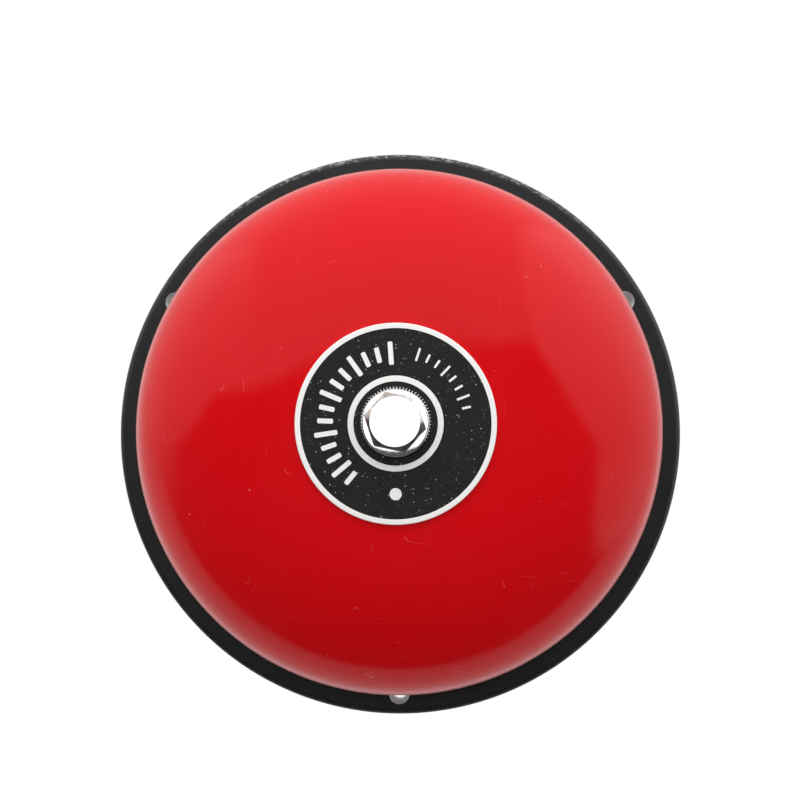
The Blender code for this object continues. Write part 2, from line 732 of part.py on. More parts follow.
def make_gong_post():
    """The steel post that carries the gong, tapped for the bolt and screwed to the base."""
    bore_radius = BOLT_RADIUS + GAP
    bore_floor = POST_FRONT - BOLT_ENGAGEMENT - BOLT_BORE_SPARE
    edge = 0.0004
    profile = [
        (0.0, bore_floor),
        (bore_radius, bore_floor),
        (bore_radius, POST_FRONT),
        (POST_RADIUS - edge, POST_FRONT),
        (POST_RADIUS, POST_FRONT - edge),
        (POST_RADIUS, POST_FLANGE_FRONT + edge),
        (POST_RADIUS + edge, POST_FLANGE_FRONT),
        (POST_FLANGE_RADIUS - edge, POST_FLANGE_FRONT),
        (POST_FLANGE_RADIUS, POST_FLANGE_FRONT - edge),
        (POST_FLANGE_RADIUS, POST_BACK),
        (0.0, POST_BACK),
    ]
    post = add_part("gong_post", turned("gong_post", profile), "zinc_plate", WALL)
    screw_places = [polar(POST_SCREW_CIRCLE, angle) for angle in POST_SCREW_ANGLES]
    hole_radius = POST_SCREW.shank_radius + SCREW_CLEARANCE
    back = POST_BACK - CUT_MARGIN
    front = POST_FLANGE_FRONT + CUT_MARGIN
    holes = [(*place, hole_radius, back, front) for place in screw_places]
    hole_mesh = discs("post_holes", holes, steps=SMALL_STEPS)
    combine(post, add_helper("post_holes", hole_mesh, WALL), "DIFFERENCE")
    for number, place in enumerate(screw_places, 1):
        add_screw(f"post_screw_{number}", place, POST_FLANGE_FRONT, POST_SCREW)


def make_clamped_stack():
    """The washers and the label between the post, the gong and the bolt."""
    bore = BOLT_RADIUS + 2 * GAP
    seat_back = SEAT_WASHER_FRONT - SEAT_WASHER_THICKNESS
    seat_mesh = tube("gong_seat_washer", SEAT_WASHER_RADIUS, bore, seat_back, SEAT_WASHER_FRONT)
    add_part("gong_seat_washer", seat_mesh, "white_nylon", WALL)

    label_front = LABEL_BACK + LABEL_THICKNESS
    label_mesh = tube("label_disc", LABEL_RADIUS, bore, LABEL_BACK, label_front, FINE_STEPS)
    add_part("label_disc", label_mesh, "label_black", WALL)

    teeth = []
    for tooth in range(LOCK_WASHER_TEETH):
        step = 360 / LOCK_WASHER_TEETH
        start = tooth * step
        teeth.append(polar(LOCK_WASHER_RADIUS - LOCK_WASHER_TOOTH, start))
        teeth.append(polar(LOCK_WASHER_RADIUS, start + step * 0.35))
        teeth.append(polar(LOCK_WASHER_RADIUS, start + step * 0.65))
    hole = circle(0.0, -LOCK_WASHER_OFFSET, bore + GAP, ROUND_STEPS)
    washer = flat_outline("lock_washer", [teeth, hole], LOCK_WASHER_THICKNESS)
    middle = LOCK_WASHER_BACK + LOCK_WASHER_THICKNESS / 2
    add_part("lock_washer", washer, "zinc_plate", WALL, (0.0, LOCK_WASHER_OFFSET, middle))

    front = PLAIN_WASHER_BACK + PLAIN_WASHER_THICKNESS
    edge = PLAIN_WASHER_THICKNESS * 0.3
    profile = [
        (bore, front),
        (PLAIN_WASHER_RADIUS - edge, front),
        (PLAIN_WASHER_RADIUS, front - edge),
        (PLAIN_WASHER_RADIUS, PLAIN_WASHER_BACK),
        (bore, PLAIN_WASHER_BACK),
    ]
    washer_mesh = turned("plain_washer", profile, ring=True)
    add_part("plain_washer", washer_mesh, "chrome", WALL)


def make_gong_bolt():
    """The bolt: a hexagon head with its corners turned off, and a shank into the post."""
    front = BOLT_HEAD_BACK + BOLT_HEAD_HEIGHT
    corner_radius = BOLT_FLATS / math.sqrt(3)
    head = bmesh.new()
    bmesh.ops.create_cone(
        head,
        cap_ends=True,
        segments=6,
        radius1=corner_radius,
        radius2=corner_radius,
        depth=BOLT_HEAD_HEIGHT,
    )
    lift = (0.0, 0.0, BOLT_HEAD_BACK + BOLT_HEAD_HEIGHT / 2)
    bmesh.ops.translate(head, verts=head.verts, vec=lift)
    mesh = bpy.data.meshes.new("gong_bolt")
    head.to_mesh(mesh)
    head.free()
    bolt = add_part("gong_bolt", mesh, "chrome", WALL, turn=BOLT_HEAD_TURN + 30)

    outside = corner_radius + CUT_MARGIN
    slope = math.tan(math.radians(BOLT_CHAMFER_ANGLE))
    outside_front = front - (outside - BOLT_CHAMFER_RADIUS) * slope
    inside_front = front + CUT_MARGIN * slope
    form_profile = [
        (0.0, inside_front),
        (BOLT_CHAMFER_RADIUS - CUT_MARGIN, inside_front),
        (outside, outside_front),
        (outside, BOLT_HEAD_BACK - CUT_MARGIN),
        (0.0, BOLT_HEAD_BACK - CUT_MARGIN),
    ]
    form_mesh = turned("bolt_chamfer_form", form_profile)
    combine(bolt, add_helper("bolt_chamfer_form", form_mesh, WALL), "INTERSECT")

    tip = POST_FRONT - BOLT_ENGAGEMENT
    mid_head = BOLT_HEAD_BACK + BOLT_HEAD_HEIGHT / 2
    shank_profile = [
        (0.0, mid_head),
        (BOLT_RADIUS, mid_head),
        (BOLT_RADIUS, tip + BOLT_RADIUS * 0.25),
        (BOLT_RADIUS * 0.75, tip),
        (0.0, tip),
    ]
    shank = add_helper("bolt_shank", turned("bolt_shank", shank_profile, steps=ROUND_STEPS), WALL)
    combine(bolt, shank, "UNION")


def make_motor_case():
    """The motor's fixed pieces: can, end cap, bush, magnets, brushes and terminals."""
    inner = MOTOR_RADIUS - MOTOR_WALL
    front_hole = BUSH_RADIUS + GAP
    edge = 0.0006
    can_profile = [
        (front_hole, MOTOR_FRONT),
        (MOTOR_RADIUS - edge, MOTOR_FRONT),
        (MOTOR_RADIUS, MOTOR_FRONT - edge),
        (MOTOR_RADIUS, MOTOR_BACK),
        (inner, MOTOR_BACK),
        (inner, MOTOR_FRONT - MOTOR_WALL),
        (front_hole, MOTOR_FRONT - MOTOR_WALL),
    ]
    can_mesh = turned("motor_can", can_profile, ring=True)
    add_part("motor_can", can_mesh, "zinc_plate", MOTOR_AXIS)

    bore = SHAFT_RADIUS + SHAFT_CLEARANCE
    cap_front = END_CAP_BACK + END_CAP_THICKNESS
    cap_mesh = tube("motor_end_cap", MOTOR_RADIUS, bore, END_CAP_BACK, cap_front)
    add_part("motor_end_cap", cap_mesh, "white_nylon", MOTOR_AXIS)
    bush_mesh = tube("motor_front_bush", BUSH_RADIUS, bore, BUSH_BACK, BUSH_FRONT, ROUND_STEPS)
    add_part("motor_front_bush", bush_mesh, "bronze", MOTOR_AXIS)

    magnet_back = MOTOR_BACK + MAGNET_SETBACK
    magnet_front = MOTOR_FRONT - MOTOR_WALL - GAP
    for name, angle in (("motor_magnet_left", 180), ("motor_magnet_right", 0)):
        outline = sector(MAGNET_INNER_RADIUS, inner - GAP, angle, MAGNET_HALF_ANGLE)
        magnet = flat_outline(name, [outline], magnet_front - magnet_back)
        middle = (0.0, 0.0, (magnet_front + magnet_back) / 2)
        add_part(name, magnet, "ferrite", MOTOR_AXIS, middle)

    brush_low = COMMUTATOR_RADIUS + GAP
    for name, side in (("motor_brush_upper", 1), ("motor_brush_lower", -1)):
        ends = sorted((side * brush_low, side * (brush_low + BRUSH_LENGTH)))
        low = (-BRUSH_HALF_WIDTH, ends[0], COMMUTATOR_BACK)
        high = (BRUSH_HALF_WIDTH, ends[1], COMMUTATOR_FRONT)
        add_part(name, block(name, low, high), "carbon", MOTOR_AXIS)

    terminal_x = TERMINAL_X - MOTOR_X
    for name, side in (("motor_terminal_upper", 1), ("motor_terminal_lower", -1)):
        y = side * TERMINAL_SPREAD
        back = CUP_FLOOR + 2 * GAP
        low = (terminal_x - TERMINAL_HALF_THICKNESS, y - TERMINAL_HALF_WIDTH, back)
        high = (terminal_x + TERMINAL_HALF_THICKNESS, y + TERMINAL_HALF_WIDTH, END_CAP_BACK - GAP)
        add_part(name, block(name, low, high), "brass", MOTOR_AXIS)


def make_motor_mounting():
    """The cushion behind the motor and the cap that holds it in the base's cup."""
    cushion_back = CUP_FLOOR + GAP
    cushion_front = END_CAP_BACK - GAP
    inner = MOTOR_RADIUS - CUSHION_WIDTH
    outline = sector(inner, MOTOR_RADIUS, 0, CUSHION_HALF_ANGLE, MEDIUM_STEPS)
    cushion = flat_outline("motor_cushion", [outline], cushion_front - cushion_back)
    middle = (0.0, 0.0, (cushion_front + cushion_back) / 2)
    add_part("motor_cushion", cushion, "black_rubber", MOTOR_AXIS, middle)

    edge = 0.0006
    profile = [
        (CAP_HOLE_RADIUS, CAP_FRONT),
        (CAP_RADIUS - edge, CAP_FRONT),
        (CAP_RADIUS, CAP_FRONT - edge),
        (CAP_RADIUS, CAP_SKIRT_BACK),
        (CAP_RADIUS - CAP_WALL, CAP_SKIRT_BACK),
        (CAP_RADIUS - CAP_WALL, CAP_FRONT - CAP_ROOF),
        (CAP_HOLE_RADIUS, CAP_FRONT - CAP_ROOF),
    ]
    cap = add_part("motor_cap", turned("motor_cap", profile, ring=True), "grey_nylon", MOTOR_AXIS)
    inside_skirt = CAP_RADIUS - CAP_WALL / 2
    tip = arc(0.0, CAP_LUG_REACH, CAP_LUG_RADIUS, 0, 180, SMALL_STEPS)
    outline = [*tip, (-CAP_LUG_RADIUS, inside_skirt), (CAP_LUG_RADIUS, inside_skirt)]
    hole_radius = CAP_SCREW.shank_radius + SCREW_CLEARANCE
    back = CAP_SKIRT_BACK - CUT_MARGIN
    front = CAP_LUG_FRONT + CUT_MARGIN
    hole = [(0.0, CAP_LUG_REACH, hole_radius, back, front)]
    for turn, side, end in ((0, 1, "upper"), (180, -1, "lower")):
        lug_mesh = plate_mesh(f"cap_lug_{end}", [outline], CAP_SKIRT_BACK, CAP_LUG_FRONT)
        lug = add_helper(f"cap_lug_{end}", lug_mesh, MOTOR_AXIS, turn=turn)
        combine(cap, lug, "UNION")
        hole_mesh = discs(f"cap_lug_hole_{end}", hole, steps=SMALL_STEPS)
        cutter = add_helper(f"cap_lug_hole_{end}", hole_mesh, MOTOR_AXIS, turn=turn)
        combine(cap, cutter, "DIFFERENCE")
        place = (MOTOR_X, side * CAP_LUG_REACH)
        add_screw(f"motor_cap_screw_{end}", place, CAP_LUG_FRONT, CAP_SCREW)
    notch = lead_notch("cap_lead_notch", CAP_RADIUS + CAP_WALL, BASE_DEPTH - GAP)
    combine(cap, notch, "DIFFERENCE")


def make_armature():
    """The motor's turning pieces: shaft, commutator, laminations and windings."""
    edge = 0.0003
    shaft_profile = [
        (0.0, SHAFT_FRONT),
        (SHAFT_RADIUS - edge, SHAFT_FRONT),
        (SHAFT_RADIUS, SHAFT_FRONT - edge),
        (SHAFT_RADIUS, SHAFT_BACK + edge),
        (SHAFT_RADIUS - edge, SHAFT_BACK),
        (0.0, SHAFT_BACK),
    ]
    shaft_mesh = turned("motor_shaft", shaft_profile, steps=SMALL_STEPS)
    add_part("motor_shaft", shaft_mesh, "bright_steel", ROTOR_AXIS)

    bore = SHAFT_RADIUS + SHAFT_CLEARANCE
    commutator_mesh = tube(
        "commutator", COMMUTATOR_RADIUS, bore, COMMUTATOR_BACK, COMMUTATOR_FRONT, ROUND_STEPS
    )
    add_part("commutator", commutator_mesh, "copper", ROTOR_AXIS)

    outline = []
    half_pole_outer = math.degrees(math.asin(POLE_WIDTH / 2 / SHOE_INNER_RADIUS))
    half_pole_inner = math.degrees(math.asin(POLE_WIDTH / 2 / LAMINATION_HUB_RADIUS))
    for angle in POLE_ANGLES:
        low, high = angle - SHOE_HALF_ANGLE, angle + SHOE_HALF_ANGLE
        pole_low, pole_high = angle - half_pole_outer, angle + half_pole_outer
        outline.append(polar(LAMINATION_HUB_RADIUS, angle - half_pole_inner))
        outline += arc(0, 0, SHOE_INNER_RADIUS, pole_low, low, CORNER_STEPS)
        outline += arc(0, 0, ARMATURE_RADIUS, low, high, SMALL_STEPS)
        outline += arc(0, 0, SHOE_INNER_RADIUS, high, pole_high, CORNER_STEPS)
        outline.append(polar(LAMINATION_HUB_RADIUS, angle + half_pole_inner))
    stack_height = LAMINATION_FRONT - LAMINATION_BACK
    stack = flat_outline("lamination_stack", [outline, circle(0, 0, bore)], stack_height)
    stack_middle = (LAMINATION_FRONT + LAMINATION_BACK) / 2
    add_part("lamination_stack", stack, "bright_steel", ROTOR_AXIS, (0.0, 0.0, stack_middle))

    for number, angle in enumerate(POLE_ANGLES, 1):
        name = f"winding_{number}"
        half_width, half_height = WINDING_WIDTH / 2, WINDING_HEIGHT / 2
        low = (WINDING_INNER, -half_width, stack_middle - half_height)
        high = (WINDING_OUTER, half_width, stack_middle + half_height)
        winding = add_part(name, block(name, low, high), "copper", ROTOR_AXIS, turn=angle)
        rounded(winding, WINDING_ROUND)
        half_slot = POLE_WIDTH / 2 + GAP
        slot_low = (WINDING_INNER - CUT_MARGIN, -half_slot, LAMINATION_BACK - GAP)
        slot_high = (WINDING_OUTER + CUT_MARGIN, half_slot, LAMINATION_FRONT + GAP)
        slot_mesh = block(f"{name}_slot", slot_low, slot_high)
        slot = add_helper(f"{name}_slot", slot_mesh, ROTOR_AXIS, turn=angle)
        combine(winding, slot, "DIFFERENCE")


def make_rotor_arm():
    """The cast arm on the shaft: two plates, a hub and two stop rods for the hammer."""
    tail = arc(0.0, COUNTERWEIGHT_REACH, ARM_TAIL_RADIUS, 0, 180, SMALL_STEPS)
    head = arc(0.0, ARM_HEAD_CENTRE, ARM_HEAD_RADIUS, 180, 360, SMALL_STEPS)
    outline = [*tail, *head]
    back_mesh = plate_mesh("rotor_arm", [outline], ARM_BACK, ARM_BACK + ARM_PLATE)
    arm = add_part("rotor_arm", back_mesh, "zinc_casting", ROTOR_AXIS)
    front_mesh = plate_mesh("arm_front_plate", [outline], ARM_FRONT - ARM_PLATE, ARM_FRONT)
    combine(arm, add_helper("arm_front_plate", front_mesh, ROTOR_AXIS), "UNION")

    joined_back = ARM_BACK + ARM_PLATE / 2
    joined_front = ARM_FRONT - ARM_PLATE / 2
    stop_turn = math.radians(STOP_ANGLE)
    stop_side = HAMMER_SHANK_WIDTH / 2 + STOP_RADIUS
    stop_x = STOP_REACH * math.sin(stop_turn) + stop_side * math.cos(stop_turn)
    stop_y = stop_side * math.sin(stop_turn) - STOP_REACH * math.cos(stop_turn) - PIN_REACH
    pillars = [(0.0, 0.0, ARM_HUB_RADIUS, joined_back, joined_front)]
    pillars += [(side * stop_x, stop_y, STOP_RADIUS, joined_back, joined_front) for side in (-1, 1)]
    pillar_mesh = discs("arm_pillars", pillars, steps=ROUND_STEPS)
    combine(arm, add_helper("arm_pillars", pillar_mesh, ROTOR_AXIS), "UNION")

    back = ARM_BACK - CUT_MARGIN
    front = ARM_FRONT + CUT_MARGIN
    holes = [
        (0.0, 0.0, SHAFT_RADIUS + SHAFT_CLEARANCE, back, front),
        (0.0, COUNTERWEIGHT_REACH, PIN_HOLE_RADIUS, back, front),
        (0.0, -PIN_REACH, PIN_HOLE_RADIUS, back, front),
    ]
    hole_mesh = discs("arm_holes", holes, steps=ROUND_STEPS)
    combine(arm, add_helper("arm_holes", hole_mesh, ROTOR_AXIS), "DIFFERENCE")


def make_counterweight():
    """The steel slug that balances the hammer in part, and the rivet that holds it."""
    place = (0.0, COUNTERWEIGHT_REACH, 0.0)
    bore = PIN_RADIUS + GAP
    weight_mesh = tube("counterweight", COUNTERWEIGHT_RADIUS, bore, HAMMER_BACK, HAMMER_FRONT, ROUND_STEPS)
    add_part("counterweight", weight_mesh, "zinc_plate", ROTOR_AXIS, place)
    front = ARM_FRONT + GAP + PIN_HEAD_THICKNESS
    back = ARM_BACK - GAP - PIN_HEAD_THICKNESS
    profile = [
        (0.0, front),
        (PIN_HEAD_RADIUS * 0.8, front - PIN_HEAD_THICKNESS * 0.3),
        (PIN_HEAD_RADIUS, ARM_FRONT + GAP),
        (PIN_RADIUS, ARM_FRONT + GAP),
        (PIN_RADIUS, ARM_BACK - GAP),
        (PIN_HEAD_RADIUS, ARM_BACK - GAP),
        (PIN_HEAD_RADIUS * 0.8, back + PIN_HEAD_THICKNESS * 0.3),
        (0.0, back),
    ]
    rivet_mesh = turned("counterweight_rivet", profile, steps=SMALL_STEPS)
    add_part("counterweight_rivet", rivet_mesh, "brass", ROTOR_AXIS, place)


def make_hammer_pin():
    """The pin that the hammer swings on, and the clip in its groove."""
    place = (0.0, -PIN_REACH, 0.0)
    front = ARM_FRONT + GAP + PIN_HEAD_THICKNESS
    clip_front = ARM_BACK - GAP
    groove_front = clip_front + PIN_CLIP_SLACK
    groove_back = clip_front - PIN_CLIP_THICKNESS - PIN_CLIP_SLACK
    profile = [
        (0.0, front),
        (PIN_HEAD_RADIUS * 0.8, front - PIN_HEAD_THICKNESS * 0.3),
        (PIN_HEAD_RADIUS, ARM_FRONT + GAP),
        (PIN_RADIUS, ARM_FRONT + GAP),
        (PIN_RADIUS, groove_front),
        (PIN_GROOVE_RADIUS, groove_front),
        (PIN_GROOVE_RADIUS, groove_back),
        (PIN_RADIUS, groove_back),
        (PIN_RADIUS, PIN_BACK),
        (0.0, PIN_BACK),
    ]
    pin_mesh = turned("hammer_pin", profile, steps=SMALL_STEPS)
    add_part("hammer_pin", pin_mesh, "bright_steel", ROTOR_AXIS, place)
    clip_inner = PIN_GROOVE_RADIUS + SHAFT_CLEARANCE
    clip_outline = sector(clip_inner, PIN_HEAD_RADIUS, 90, PIN_CLIP_HALF_ANGLE, ROUND_STEPS)
    clip = flat_outline("pin_clip", [clip_outline], PIN_CLIP_THICKNESS)
    clip_place = (0.0, -PIN_REACH, clip_front - PIN_CLIP_THICKNESS / 2)
    add_part("pin_clip", clip, "bright_steel", ROTOR_AXIS, clip_place)


def make_hammer():
    """The loose hammer: an eye on the pin, a short shank and a rounded head."""
    shank_back = HAMMER_BACK + HAMMER_SHANK_RELIEF
    shank_front = HAMMER_FRONT - HAMMER_SHANK_RELIEF
    corner = HAMMER_HEAD_RADIUS - HAMMER_HEAD_ROUND
    profile = [
        (0.0, HAMMER_FRONT),
        *arc(corner, HAMMER_FRONT - HAMMER_HEAD_ROUND, HAMMER_HEAD_ROUND, 90, 0, CORNER_STEPS),
        *arc(corner, HAMMER_BACK + HAMMER_HEAD_ROUND, HAMMER_HEAD_ROUND, 0, -90, CORNER_STEPS),
        (0.0, HAMMER_BACK),
    ]
    head_mesh = turned("hammer", profile)
    for vertex in head_mesh.vertices:
        vertex.co.y -= HAMMER_REACH
    hammer = add_part("hammer", head_mesh, "bright_steel", HAMMER_AXIS)
    half = HAMMER_SHANK_WIDTH / 2
    below = math.degrees(math.acos(half / HAMMER_EYE_RADIUS))
    eye = arc(0.0, 0.0, HAMMER_EYE_RADIUS, -below, 180 + below, ROUND_STEPS)
    outline = [*eye, (-half, -HAMMER_REACH), (half, -HAMMER_REACH)]
    shank_mesh = plate_mesh("hammer_shank", [outline], shank_back, shank_front)
    combine(hammer, add_helper("hammer_shank", shank_mesh, HAMMER_AXIS), "UNION")
    bore = [(0.0, 0.0, PIN_HOLE_RADIUS, shank_back - CUT_MARGIN, shank_front + CUT_MARGIN)]
    bore_mesh = discs("hammer_bore", bore, steps=ROUND_STEPS)
    combine(hammer, add_helper("hammer_bore", bore_mesh, HAMMER_AXIS), "DIFFERENCE")


def make_circuit_board():
    """The board and the two screws that hold it on its standoffs."""
    left = BOARD_LEFT + BOARD_CORNER
    right = BOARD_RIGHT - BOARD_CORNER
    high = BOARD_HALF_HEIGHT - BOARD_CORNER
    outline = [
        *arc(right, high, BOARD_CORNER, 0, 90, CORNER_STEPS),
        *arc(left, high, BOARD_CORNER, 90, 180, CORNER_STEPS),
        *arc(left, -high, BOARD_CORNER, 180, 270, CORNER_STEPS),
        *arc(right, -high, BOARD_CORNER, 270, 360, CORNER_STEPS),
    ]
    hole_radius = BOARD_SCREW.shank_radius + SCREW_CLEARANCE
    holes = [circle(x, y, hole_radius) for x, y in BOARD_SCREWS.values()]
    board = flat_outline("circuit_board", [outline, *holes], BOARD_THICKNESS)
    middle = (BOARD_BACK + BOARD_FRONT) / 2
    add_part("circuit_board", board, "board_green", WALL, (0.0, 0.0, middle))
    for name, place in BOARD_SCREWS.items():
        add_screw(name, place, BOARD_FRONT, BOARD_SCREW)


def make_capacitor():
    """The suppression capacitor, a can that stands on the board."""
    rolled, groove, foot = reversed(CAPACITOR_GROOVE_HEIGHTS)
    inner = CAPACITOR_RADIUS - CAPACITOR_GROOVE
    profile = [
        (0.0, CAPACITOR_HEIGHT),
        (inner, CAPACITOR_HEIGHT),
        (CAPACITOR_RADIUS, CAPACITOR_HEIGHT - CAPACITOR_GROOVE),
        (CAPACITOR_RADIUS, rolled),
        (inner, groove),
        (CAPACITOR_RADIUS, foot),
        (CAPACITOR_RADIUS, 0.0),
        (0.0, 0.0),
    ]
    name = "suppression_capacitor"
    mesh = turned(name, profile, steps=ROUND_STEPS)
    add_part(name, mesh, "capacitor_sleeve", WALL, (*CAPACITOR_PLACE, BOARD_SEAT))


def make_choke():
    """The choke, wound on a flanged core that stands on the board."""
    profile = [
        (0.0, CHOKE_HEIGHT),
        (CHOKE_RADIUS, CHOKE_HEIGHT),
        (CHOKE_RADIUS, CHOKE_HEIGHT - CHOKE_FLANGE),
        (CHOKE_WAIST_RADIUS, CHOKE_HEIGHT - CHOKE_FLANGE),
        (CHOKE_WAIST_RADIUS, CHOKE_FLANGE),
        (CHOKE_RADIUS, CHOKE_FLANGE),
        (CHOKE_RADIUS, 0.0),
        (0.0, 0.0),
    ]
    mesh = turned("choke", profile, steps=ROUND_STEPS)
    add_part("choke", mesh, "ferrite", WALL, (*CHOKE_PLACE, BOARD_SEAT))


def make_varistor():
    """The varistor, a lens-shaped disc standing on its edge above the board."""
    profile = [
        (0.0, VARISTOR_HALF_THICKNESS),
        (VARISTOR_FACE_RADIUS, VARISTOR_FACE_HALF),
        (VARISTOR_RADIUS, VARISTOR_EDGE_HALF),
        (VARISTOR_RADIUS, -VARISTOR_EDGE_HALF),
        (VARISTOR_FACE_RADIUS, -VARISTOR_FACE_HALF),
        (0.0, -VARISTOR_HALF_THICKNESS),
    ]
    x, y, lift = VARISTOR_PLACE
    mesh = turned("varistor", profile, steps=ROUND_STEPS)
    varistor = add_part("varistor", mesh, "varistor_blue", WALL, (x, y, BOARD_SEAT + lift))
    varistor.rotation_euler.x = math.radians(90)


def make_diode():
    """The blocking diode, lying along the board with its wires cropped short."""
    profile = [
        (0.0, DIODE_WIRE_END),
        (DIODE_WIRE_RADIUS, DIODE_WIRE_END),
        (DIODE_WIRE_RADIUS, DIODE_HALF_LENGTH),
        (DIODE_RADIUS, DIODE_HALF_LENGTH),
        (DIODE_RADIUS, -DIODE_HALF_LENGTH),
        (DIODE_WIRE_RADIUS, -DIODE_HALF_LENGTH),
        (DIODE_WIRE_RADIUS, -DIODE_WIRE_END),
        (0.0, -DIODE_WIRE_END),
    ]
    x, y, lift = DIODE_PLACE
    mesh = turned("blocking_diode", profile, steps=SMALL_STEPS)
    diode = add_part("blocking_diode", mesh, "ferrite", WALL, (x, y, BOARD_SEAT + lift))
    diode.rotation_euler.y = math.radians(90)


def make_terminal_block():
    """The two-pole terminal block for the field wires, with a clamp screw in each well."""
    x, y = BLOCK_CENTRE
    width, depth, height = BLOCK_SIZE
    low = (x - width / 2, y - depth / 2, BOARD_SEAT)
    high = (x + width / 2, y + depth / 2, BOARD_SEAT + height)
    body = add_part("terminal_block", block("terminal_block", low, high), "terminal_green", WALL)
    rounded(body, BLOCK_EDGE_ROUND)
    well_floor = BOARD_SEAT + WELL_FLOOR
    well_front = BOARD_SEAT + height + CUT_MARGIN
    entry_back, entry_front = WIRE_ENTRY_HEIGHTS
    for side, end in ((-1, "left"), (1, "right")):
        pole = x + side * BLOCK_POLE_SPACING / 2
        well = [(pole, y, WELL_RADIUS, well_floor, well_front)]
        well_mesh = discs(f"terminal_well_{end}", well, steps=ROUND_STEPS)
        combine(body, add_helper(f"terminal_well_{end}", well_mesh, WALL), "DIFFERENCE")
        entry_low = (pole - WIRE_ENTRY_HALF_WIDTH, y, BOARD_SEAT + entry_back)
        entry_high = (pole + WIRE_ENTRY_HALF_WIDTH, y + depth, BOARD_SEAT + entry_front)
        entry_mesh = block(f"wire_entry_{end}", entry_low, entry_high)
        combine(body, add_helper(f"wire_entry_{end}", entry_mesh, WALL), "DIFFERENCE")
        seat = well_floor + WELL_SCREW_LIFT
        add_screw(f"terminal_screw_{end}", (pole, y), seat, TERMINAL_SCREW)


def make_leads():
    """The red and black leads from the board to the motor, and the clip over them."""
    for name, route in (("lead_red", LEAD_RED_ROUTE), ("lead_black", LEAD_BLACK_ROUTE)):
        add_part(name, wire(name, smooth_route(route, LEAD_STEP), LEAD_RADIUS), name, WALL)

    inside = LEAD_CLIP_HALF_SPAN
    outside = inside + LEAD_CLIP_WALL
    foot = inside + LEAD_CLIP_FOOT
    seat = BASE_DEPTH + GAP
    foot_front = seat + LEAD_CLIP_WALL
    roof = LEAD_HEIGHT + LEAD_RADIUS + GAP
    half = [
        (foot, seat),
        (foot, foot_front),
        (outside, foot_front),
        (outside, roof),
        (inside, roof + LEAD_CLIP_WALL),
    ]
    far_half = [(-across, height) for across, height in reversed(half)]
    hollow = [(-inside, seat), (-inside, roof), (inside, roof), (inside, seat)]
    clip = flat_outline("lead_clip", [[*half, *far_half, *hollow]], LEAD_CLIP_WIDTH)
    part = add_part("lead_clip", clip, "white_nylon", WALL, (*LEAD_CLIP_CENTRE, 0.0))
    part.rotation_euler = (math.radians(90), 0.0, math.radians(90))


def apply_modifiers():
    """Applies each piece's modifiers, so that its shading follows its final edges."""
    graph = bpy.context.evaluated_depsgraph_get()
    for part in PARTS.objects:
        if part.modifiers:
            mesh = bpy.data.meshes.new_from_object(part.evaluated_get(graph))
            part.modifiers.clear()
            part.data = shade_round(mesh)


clear_scene()
PARTS = new_collection("fire_alarm_bell")
CUTTERS = new_collection("cutters")
WALL = new_axis("wall_frame", None, (0.0, 0.0, 0.0))
WALL.rotation_euler.x = math.radians(90)
MOTOR_AXIS = new_axis("motor_axis", WALL, (MOTOR_X, 0.0, 0.0))
ROTOR_AXIS = new_axis("rotor_axis", MOTOR_AXIS, (0.0, 0.0, 0.0))
HAMMER_AXIS = new_axis("hammer_axis", ROTOR_AXIS, (0.0, -PIN_REACH, 0.0))

make_base()
make_cable_grommet()
make_gong_post()
make_clamped_stack()
make_gong()
make_gong_bolt()
make_motor_case()
make_motor_mounting()
make_armature()
make_rotor_arm()
make_counterweight()
make_hammer_pin()
make_hammer()
make_circuit_board()
make_capacitor()
make_choke()
make_varistor()
make_diode()
make_terminal_block()
make_leads()
apply_modifiers()
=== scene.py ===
"""The looks of a wall-mounted fire alarm bell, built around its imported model.

Sizes are in metres. The wall is the plane y = 0, the bell faces -y, and z is up the wall.
"Out" below means the distance from the wall.
"""

import json
import math

import bmesh
import bpy
from mathutils import Matrix, Vector


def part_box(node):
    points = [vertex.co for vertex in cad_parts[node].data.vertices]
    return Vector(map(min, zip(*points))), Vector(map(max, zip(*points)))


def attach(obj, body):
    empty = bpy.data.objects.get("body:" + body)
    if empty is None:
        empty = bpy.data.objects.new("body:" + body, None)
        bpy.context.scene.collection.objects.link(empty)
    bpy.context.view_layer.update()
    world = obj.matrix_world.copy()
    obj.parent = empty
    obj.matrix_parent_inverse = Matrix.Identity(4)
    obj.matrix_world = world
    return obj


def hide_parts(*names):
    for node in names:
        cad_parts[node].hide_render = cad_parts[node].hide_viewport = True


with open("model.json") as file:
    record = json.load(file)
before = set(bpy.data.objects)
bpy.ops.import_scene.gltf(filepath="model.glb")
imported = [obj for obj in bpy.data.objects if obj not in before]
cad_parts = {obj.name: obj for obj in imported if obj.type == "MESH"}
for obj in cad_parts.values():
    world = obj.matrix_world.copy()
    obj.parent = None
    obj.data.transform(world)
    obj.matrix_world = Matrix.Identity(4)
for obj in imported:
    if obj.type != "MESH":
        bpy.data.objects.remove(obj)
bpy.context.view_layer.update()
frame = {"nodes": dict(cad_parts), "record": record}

SLOTS = {piece["node"]: piece["material_slot"] for piece in frame["record"]["subparts"]}
BODIES = {node: body for body, nodes in frame["record"]["behaviour"]["bodies"].items() for node in nodes}

TOUCH = 0.000002  # points closer than this are one
OUT = Vector((0.0, -1.0, 0.0))
FINE_TURN = 192  # steps in the turn of a large round piece
GONG_TURN = 256
MIDDLE_TURN = 96
SMALL_TURN = 48
SMOOTH_ANGLE = 32  # degrees: edges sharper than this shade as edges
OVER = 0.001  # how far a cutter reaches past what it cuts
OVERLAP = 0.0005  # how far a joined shape reaches into its neighbour


def span_out(node):
    """How far from the wall a node starts and ends."""
    low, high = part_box(node)
    return -high.y, -low.y


def radius_of(node):
    """Half the width of a node."""
    low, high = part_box(node)
    return (high.x - low.x) / 2


def centre_of(node):
    """The middle of a node as (across, up)."""
    low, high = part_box(node)
    return (high.x + low.x) / 2, (high.z + low.z) / 2


